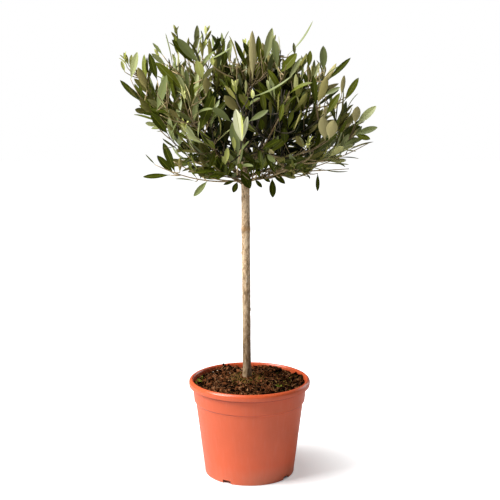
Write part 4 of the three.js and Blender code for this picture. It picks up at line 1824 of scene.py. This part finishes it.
def leaf_points(leaf):
    """One leaf's points: a folded, bowed and slightly twisted blade on a short stalk."""
    half = np.maximum(leaf.width / 2 * OUTLINE, STALK_RADIUS)[:, None]
    half[-1] = TIP_RADIUS
    along = STATIONS[:, None]
    x = SECTION * half
    lift = np.abs(x) * math.tan(leaf.fold) - EDGE_CURL * x**2
    groove = GROOVE_DEPTH * RIB_GROOVE * (half > 1)
    depth = LEAF_THICKNESS * UNDER * np.minimum(1, half / THIN_EDGE)
    rise = lift - groove - depth
    turn = leaf.twist * along
    across = x * np.cos(turn) - rise * np.sin(turn)
    up = x * np.sin(turn) + rise * np.cos(turn)
    bow = leaf.bow if abs(leaf.bow) > LEAST_BOW else LEAST_BOW
    angle = bow * along
    reach = leaf.length / bow
    forward = reach * np.sin(angle) + up * np.sin(angle)
    height = -reach * (1 - np.cos(angle)) + up * np.cos(angle)
    across = across + leaf.sway * leaf.length * along**2
    side = leaf.along.cross(leaf.face)
    basis = np.array((side[:], leaf.along[:], leaf.face[:]))
    local = np.stack((across, forward, height), axis=2).reshape(-1, 3)
    return local @ basis + np.array(leaf.root)


def leaf_mesh(name, leaves):
    """Many leaves as one joined mesh, each with its own tone's slots."""
    faces, parts = leaf_faces()
    batch = Batch()
    for leaf in leaves:
        own = [COLOR_NAMES.index(color) for color in LEAF_TONES[leaf.tone]]
        batch.add(leaf_points(leaf), faces, [own[part] for part in parts])
    return batch.mesh(name, SHARP["leaf"])


def leaf_gloss(name):
    """How strongly a leaf's side reflects: little below and in the shade, most on grown leaves."""
    if name.endswith("under") or name.startswith(("shade", "deep")):
        return 0.08
    return 0.16 if name.startswith("moss") else 0.36


def leaf_finishes(settings):
    """One plain finish for each leaf colour: leathery above, dull and felted below."""
    finishes = []
    for name, color in LEAF_COLORS.items():
        dull = name.endswith("under")
        roughness = settings.under_roughness if dull else settings.upper_roughness
        gloss = leaf_gloss(name)
        finishes.append(plain_finish(name, color, roughness, Specular_IOR_Level=gloss))
    return finishes


class CrownSettings(bpy.types.PropertyGroup):
    """How thickly the crown is leaved and how its leaves look."""

    leaf_length: length_setting("Leaf Length", "Usual length of a leaf with its stalk", 46 * MM)
    node_step: length_setting(
        "Leaf Spacing", "Distance along a twig from one pair of leaves to the next", 13 * MM
    )
    side_twig_step: length_setting(
        "Twig Spacing", "Distance along a shoot from one side twig to the next", 36 * MM
    )
    leaf_share: share_setting("Leaf Share", "Share of the leaf places that hold a leaf", 0.86)
    young_share: share_setting(
        "Young Share", "Share of the other shoots that end in pale young leaves", 0.12
    )
    inner_count: count_setting("Inner Shoots", "Short shoots along each stem", 9)
    upper_roughness: share_setting("Upper Roughness", "Roughness of the leaves above", 0.42)
    under_roughness: share_setting("Under Roughness", "Roughness of the leaves below", 0.7)


# Each piece of leaves, with the masses that it stands for, counted from 0
LEAF_PIECES = {
    "leaves_lowest": range(0, 3),
    "leaves_low": range(3, 5),
    "leaves_middle": range(5, 8),
    "leaves_high": range(8, 10),
    "leaves_top": range(10, 13),
}


class OLIVE_OT_crown(bpy.types.Operator):
    """Make the crown: shoots and finer twigs by the source's rule, with all their leaves"""

    bl_idname = "olive.crown"
    bl_label = "Make Crown"

    def execute(self, context):
        settings = context.scene.olive_crown
        growth = grown_crown(settings)
        twig_finishes = [plain_finish(name, TWIG_COLORS[name], 0.7) for name in TWIG_NAMES]
        add_piece("twigs", twig_mesh(growth.twigs), twig_finishes, MASSES)
        finishes = leaf_finishes(settings)
        for name, masses in LEAF_PIECES.items():
            leaves = [leaf for leaf in growth.leaves if leaf.mass in masses]
            nodes = [MASSES[k] for k in masses]
            add_piece(name, leaf_mesh(name, leaves), finishes, nodes)
        return {"FINISHED"}


# Colours that are laid over the bark
STAIN_COLOR = (0.15, 0.085, 0.03)
KNOT_COLOR = (0.42, 0.22, 0.08)
FLECK_COLOR = (0.80, 0.68, 0.52)
CRACK_COLOR = (0.05, 0.034, 0.018)
LOW_SHADE_COLOR = (0.13, 0.078, 0.034)


def bark(name, base, dark, pale, low_shade):
    """Smooth young bark: streaks, patches, a brown knot, pale flecks, cracks and a shaded foot."""
    paint = Paint(name)
    upright = paint.place((1, 1, 0.3))
    streak = paint.noise(upright, 430, 5, 0.7)
    crack = paint.noise(upright, 950, 4, 0.6)
    patch = paint.noise(paint.place((1, 1, 0.45)), 95, 4, 0.6)
    fleck = paint.noise(paint.place((1, 1, 0.7)), 330, 3, 0.5)
    height = paint.height()
    color = paint.blend(paint.span(streak, 0.4, 0.62), dark, base)
    color = paint.lay(color, pale, patch, 0.52, 0.66, 0, 0.7)
    color = paint.lay(color, STAIN_COLOR, patch, 0.36, 0.46, 0.75, 0)
    color = paint.blend(paint.belt(height, *BARK_KNOT), color, KNOT_COLOR)
    color = paint.lay(color, FLECK_COLOR, fleck, 0.63, 0.69, 0, 0.85)
    color = paint.lay(color, CRACK_COLOR, crack, 0.62, 0.72, 0, 0.6)
    color = paint.lay(color, LOW_SHADE_COLOR, height, 0.2, 0.34, low_shade, 0)
    paint.bump(streak + crack * 0.6 + fleck * 0.3, 0.6, 0.0005)
    return paint.finish(Base_Color=color, Roughness=0.78, Specular_IOR_Level=0.2)


# Old side shoots' scars on the trunk: height, turn and size
TRUNK_SCARS = (
    (205, 4.1, 1.7),
    (262, 5.9, 1.5),
    (300, 1.2, 1.9),
    (338, 4.9, 1.6),
    (352, 3.0, 1.3),
    (418, 4.4, 1.8),
    (441, 0.6, 1.6),
    (447, 5.4, 1.3),
)

# How far the bark's ridges, wide waves, root ribs and scars stand out, in millimetres
RIDGE_HEIGHT = 0.34
WAVE_HEIGHT = 0.3
ROOT_RIB_HEIGHT = 0.6
SCAR_RIM_HEIGHT = 0.9
SCAR_DEPTH = 0.5

# The trunk's mesh: how far it reaches into the soil, its facets, and the radii and rises of its top
TRUNK_SUNK = 2
TRUNK_RINGS = 300
TRUNK_FACETS = 44
TRUNK_TOP = ((2.4, 1.4), (0, 1.8))


def trunk_relief(z, turn):
    """How far the bark stands out at a height and turn: ridges, old buds and scars."""
    place = Vector((math.cos(turn) * 6, math.sin(turn) * 6, z * 0.18))
    relief = RIDGE_HEIGHT * noise.fractal(place / 2.1, 1, 2, 3)
    relief += WAVE_HEIGHT * noise.noise(place / 7)
    flare = math.exp(-max(0, z - TRUNK_FOOT.z) / (1.3 * ROOT_FLARE_HEIGHT))
    relief += ROOT_RIB_HEIGHT * flare * math.sin(3 * turn + 0.8)
    for scar_z, scar_turn, size in TRUNK_SCARS:
        around = math.remainder(turn - scar_turn, math.tau) * TRUNK_RADIUS
        away = math.hypot(around / size, (z - scar_z) / (1.5 * size))
        rim = SCAR_RIM_HEIGHT * math.exp(-((away - 0.8) ** 2) * 5)
        relief += rim - SCAR_DEPTH * math.exp(-(away**2) * 6)
    return relief


def trunk_mesh():
    """The trunk with its lean, root flare, knot and bark relief."""
    foot = TRUNK_FOOT.z - TRUNK_SUNK
    shares = [ring / TRUNK_RINGS for ring in range(TRUNK_RINGS + 1)]
    heights = [lerp(foot, TRUNK_HEAD.z, share) for share in shares]
    outline = [Vector((0, foot))]
    outline += [Vector((trunk_radius(z), z)) for z in heights]
    outline += [Vector((radius, TRUNK_HEAD.z + rise)) for radius, rise in TRUNK_TOP]
    bm = spun(outline, TRUNK_FACETS)
    for vert in bm.verts:
        x, y, z = vert.co / MM
        turn = math.atan2(y, x)
        radius = math.hypot(x, y)
        if radius > 1:
            grown = 1 + trunk_relief(z, turn) / radius
            x, y = x * grown, y * grown
        middle = trunk_at(z)
        vert.co = Vector((x + middle.x, y + middle.y, z)) * MM
    return mesh_of(bm, "trunk_bark", SHARP["none"])


def grow_limb(bm, places, radii, sides):
    """Extrudes a circle along places, turned to follow them and scaled to each radius."""
    heading = places[1] - places[0]
    turn = heading.to_track_quat("Z", "Y")
    first = Matrix.LocRotScale(places[0] * MM, turn, None)
    made = bmesh.ops.create_circle(
        bm, cap_ends=False, radius=radii[0] * MM, segments=sides, matrix=first
    )
    edges = list({edge for vert in made["verts"] for edge in vert.link_edges})
    bmesh.ops.contextual_create(bm, geom=edges)
    for i in range(1, len(places)):
        made = bmesh.ops.extrude_edge_only(bm, edges=edges)
        ring = [item for item in made["geom"] if isinstance(item, bmesh.types.BMVert)]
        edges = [item for item in made["geom"] if isinstance(item, bmesh.types.BMEdge)]
        on = places[min(i + 1, len(places) - 1)] - places[i - 1]
        bend = heading.rotation_difference(on).to_matrix().to_4x4()
        scale = Matrix.Scale(radii[i] / radii[i - 1], 4)
        to_origin = Matrix.Translation(-places[i - 1] * MM)
        to_place = Matrix.Translation(places[i] * MM)
        bmesh.ops.transform(bm, matrix=to_place @ bend @ scale @ to_origin, verts=ring)
        heading = on
    bmesh.ops.contextual_create(bm, geom=edges)


# The boughs' mesh: steps along a bough and its stem, facets, and how much the stem's tip narrows
BOUGH_STEPS = 16
STEM_STEPS = 20
BOUGH_FACETS = 14
STEM_TIP_SHARE = 0.9

# A bough's collar at the trunk and its length in millimetres, and the knob on every third ring
# and its spread as shares of the radius
COLLAR = 1.5
COLLAR_LENGTH = 9
KNOB_STEP = 3
KNOB = 0.16
KNOB_SPREAD = 0.1

# How far the boughs' bark stands out, in millimetres
BOUGH_RIDGE_HEIGHT = 0.16


def bough_places(bough):
    """Places and radii from the trunk along a bough and its stem."""
    places = bough.curve.points(BOUGH_STEPS) + bough.stem.points(STEM_STEPS)[1:]
    tip_radius = STEM_TIP_RADIUS * STEM_TIP_SHARE
    radii = [bough_radius(step / BOUGH_STEPS) for step in range(BOUGH_STEPS + 1)]
    for step in range(1, STEM_STEPS + 1):
        radii.append(lerp(BOUGH_TIP_RADIUS, tip_radius, step / STEM_STEPS))
    return places, radii


def bough_mesh():
    """All boughs and stems, with collars at the trunk and knobbly old leaf scars."""
    bm = bmesh.new()
    for k, bough in enumerate(BOUGH_LIST):
        places, radii = bough_places(bough)
        draw = seeded(SEEDS["bough"] + k)
        for i in range(len(radii)):
            away = (places[i] - places[0]).length / COLLAR_LENGTH
            knob = KNOB if i % KNOB_STEP == 0 else 0
            radii[i] *= 1 + knob + KNOB_SPREAD * (draw() - 0.5)
            radii[i] += COLLAR * math.exp(-(away**2))
        grow_limb(bm, places, radii, BOUGH_FACETS)
    bmesh.ops.recalc_face_normals(bm, faces=bm.faces)
    for vert in bm.verts:
        ridge = noise.fractal(vert.co / MM / 2.2, 1, 2, 2)
        vert.co += vert.normal * BOUGH_RIDGE_HEIGHT * MM * ridge
    return mesh_of(bm, "boughs", SHARP["none"])


class BarkSettings(bpy.types.PropertyGroup):
    """Colours of the trunk's and the boughs' bark, and how the trunk is shaded."""

    trunk_color: color_setting("Trunk", "Main colour of the trunk's bark", (0.94, 0.70, 0.45))
    trunk_dark: color_setting("Trunk Streaks", "Colour of its dark streaks", (0.33, 0.205, 0.10))
    trunk_pale: color_setting("Trunk Patches", "Colour of its pale patches", (0.82, 0.64, 0.43))
    # The boughs' bark is darker than the trunk's: its own colour, deepened as painted shade inside
    # the crown
    bough_color: color_setting("Boughs", "Main colour of the boughs' bark", (0.26, 0.19, 0.10))
    bough_dark: color_setting("Bough Streaks", "Colour of their dark streaks", (0.16, 0.11, 0.05))
    bough_pale: color_setting("Bough Patches", "Colour of their pale patches", (0.40, 0.31, 0.18))
    low_shade: share_setting("Low Shade", "How dark the trunk's lower half turns", 0.6)


class OLIVE_OT_wood(bpy.types.Operator):
    """Make the trunk and the boughs with the relief of their bark"""

    bl_idname = "olive.wood"
    bl_label = "Make Trunk and Boughs"

    def execute(self, context):
        chosen = context.scene.olive_bark
        trunk_colors = (chosen.trunk_color, chosen.trunk_dark, chosen.trunk_pale)
        bough_colors = (chosen.bough_color, chosen.bough_dark, chosen.bough_pale)
        trunk = bark("trunk_bark", *trunk_colors, chosen.low_shade)
        boughs = bark("bough_bark", *bough_colors, 0)
        add_piece("trunk_bark", trunk_mesh(), [trunk], ["trunk"])
        nodes = [f"bough_{k + 1:02d}" for k in range(BOUGHS)]
        add_piece("boughs", bough_mesh(), [boughs], nodes)
        return {"FINISHED"}


# The photograph's camera: its place in metres, its pitch in degrees, its lens in millimetres
CAMERA_PLACE = Vector((0.0008, -1.6077, 0.6265))
CAMERA_PITCH = 9.506
CAMERA_LENS = 75.56
SENSOR_WIDTH = 36

# Distances in metres over which the floor turns as bright as the background
FLOOR_NEAR = 0.085
FLOOR_FAR = 0.21

# The floor glows only outside the pot's foot, from the first to the second share of its radius
FOOT_EDGE = (0.93, 1.03)

# Half the floor's width, and where the lights aim, in metres
FLOOR_REACH = 6
LIGHT_TARGET = (0, 0, 0.35)


class StageSettings(bpy.types.PropertyGroup):
    """Strength of the studio's lights."""

    key_power: power_setting("Key", "Power of the large light at the left", 74)
    top_power: power_setting("Top", "Power of the light overhead", 26)
    side_power: power_setting("Side", "Power of the weak light behind, at the right", 9)
    sky_strength: share_setting("Sky", "Strength of the even light from all round", 0.085)
    floor_glow: share_setting("Floor Glow", "Light that the floor near the pot gives off", 0.35)


def soft_light(name, place, size, power):
    """A square area light that faces the plant."""
    lamp = bpy.data.lights.new(name, "AREA")
    lamp.shape = "SQUARE"
    lamp.size = size
    lamp.energy = power
    light = put(name, lamp)
    light.location = place
    aim = Vector(LIGHT_TARGET) - Vector(place)
    light.rotation_euler = aim.to_track_quat("-Z", "Y").to_euler()


def studio_world(strength):
    """A white surround that lights the plant evenly. The camera sees it at full brightness."""
    world = bpy.data.worlds.new("studio")
    world.use_nodes = True
    nodes, links = world.node_tree.nodes, world.node_tree.links
    path = nodes.new("ShaderNodeLightPath")
    chosen = nodes.new("ShaderNodeMixShader")
    links.new(path.outputs["Is Camera Ray"], chosen.inputs["Fac"])
    skies = (nodes["Background"], nodes.new("ShaderNodeBackground"))
    for slot, (sky, brightness) in enumerate(zip(skies, (strength, 1)), 1):
        sky.inputs["Color"].default_value = (1, 1, 1, 1)
        sky.inputs["Strength"].default_value = brightness
        links.new(sky.outputs["Background"], chosen.inputs[slot])
    links.new(chosen.outputs["Shader"], nodes["World Output"].inputs["Surface"])
    bpy.context.scene.world = world


def floor_white(glow):
    """White floor. To the camera it glows more with the distance, up to the background's white."""
    paint = Paint("floor_white")
    away = paint.node("VectorMath", {"operation": "LENGTH"}, {0: paint.place()}, output="Value")
    outside = paint.span(away, *(share * FOOT_RADIUS * MM for share in FOOT_EDGE))
    light = paint.span(away, FLOOR_NEAR, FLOOR_FAR, glow, 1) * outside
    seen = paint.node("LightPath", output="Is Camera Ray")
    color = paint.blend(light * seen, (0, 0, 0), (1, 1, 1))
    return paint.finish(
        Base_Color=(0.8, 0.8, 0.8), Roughness=0.9, Emission_Color=color, Emission_Strength=1
    )


def studio_floor(glow):
    """A plain white floor that glows a little, so that it meets the white background."""
    bm = bmesh.new()
    bmesh.ops.create_grid(bm, x_segments=1, y_segments=1, size=FLOOR_REACH)
    floor = put("floor", mesh_of(bm, "floor"))
    floor.data.materials.append(floor_white(glow))


def studio_camera():
    """The camera at the photograph's viewing angle."""
    data = bpy.data.cameras.new("camera")
    data.lens = CAMERA_LENS
    data.sensor_width = SENSOR_WIDTH
    camera = put("camera", data)
    camera.location = CAMERA_PLACE
    camera.rotation_euler = (math.radians(90 - CAMERA_PITCH), 0, 0)
    bpy.context.scene.camera = camera


class OLIVE_OT_stage(bpy.types.Operator):
    """Make the plain white studio: floor, soft lights and camera"""

    bl_idname = "olive.stage"
    bl_label = "Make Studio"

    def execute(self, context):
        settings = context.scene.olive_stage
        studio_floor(settings.floor_glow)
        studio_world(settings.sky_strength)
        soft_light("key", (-1.7, -0.75, 1.75), 1.1, settings.key_power)
        soft_light("top", (-0.9, -0.1, 2.1), 0.9, settings.top_power)
        soft_light("side", (1.45, 1.2, 0.7), 1, settings.side_power)
        studio_camera()
        context.scene.view_settings.view_transform = "Standard"
        return {"FINISHED"}


class OLIVE_PT_panel(bpy.types.Panel):
    """Lists the plant's settings and the operators that make its pieces"""

    bl_idname = "OLIVE_PT_panel"
    bl_label = "Potted Standard Olive"
    bl_space_type = "VIEW_3D"
    bl_region_type = "UI"
    bl_category = "Olive"

    def draw(self, context):
        for operator, group_name, _ in STEPS:
            box = self.layout.box()
            group = getattr(context.scene, group_name)
            for name in group.__annotations__:
                box.prop(group, name)
            box.operator(operator.bl_idname)


# Each operator with the name and the class of its settings, in the order in which they run
STEPS = (
    (OLIVE_OT_pot, "olive_pot", PotSettings),
    (OLIVE_OT_soil, "olive_soil", SoilSettings),
    (OLIVE_OT_wood, "olive_bark", BarkSettings),
    (OLIVE_OT_crown, "olive_crown", CrownSettings),
    (OLIVE_OT_stage, "olive_stage", StageSettings),
)


def register():
    """Registers the settings, the operators and the panel."""
    for operator, name, group in STEPS:
        bpy.utils.register_class(group)
        setattr(bpy.types.Scene, name, PointerProperty(type=group))
        bpy.utils.register_class(operator)
    bpy.utils.register_class(OLIVE_PT_panel)


def unregister():
    """Takes back all that register() did."""
    bpy.utils.unregister_class(OLIVE_PT_panel)
    for operator, name, group in reversed(STEPS):
        bpy.utils.unregister_class(operator)
        delattr(bpy.types.Scene, name)
        bpy.utils.unregister_class(group)


def main():
    """Makes the pot, the soil, the wood, the crown and the studio."""
    register()
    bpy.ops.olive.pot()
    bpy.ops.olive.soil()
    bpy.ops.olive.wood()
    bpy.ops.olive.crown()
    bpy.ops.olive.stage()


if __name__ == "__main__":
    main()
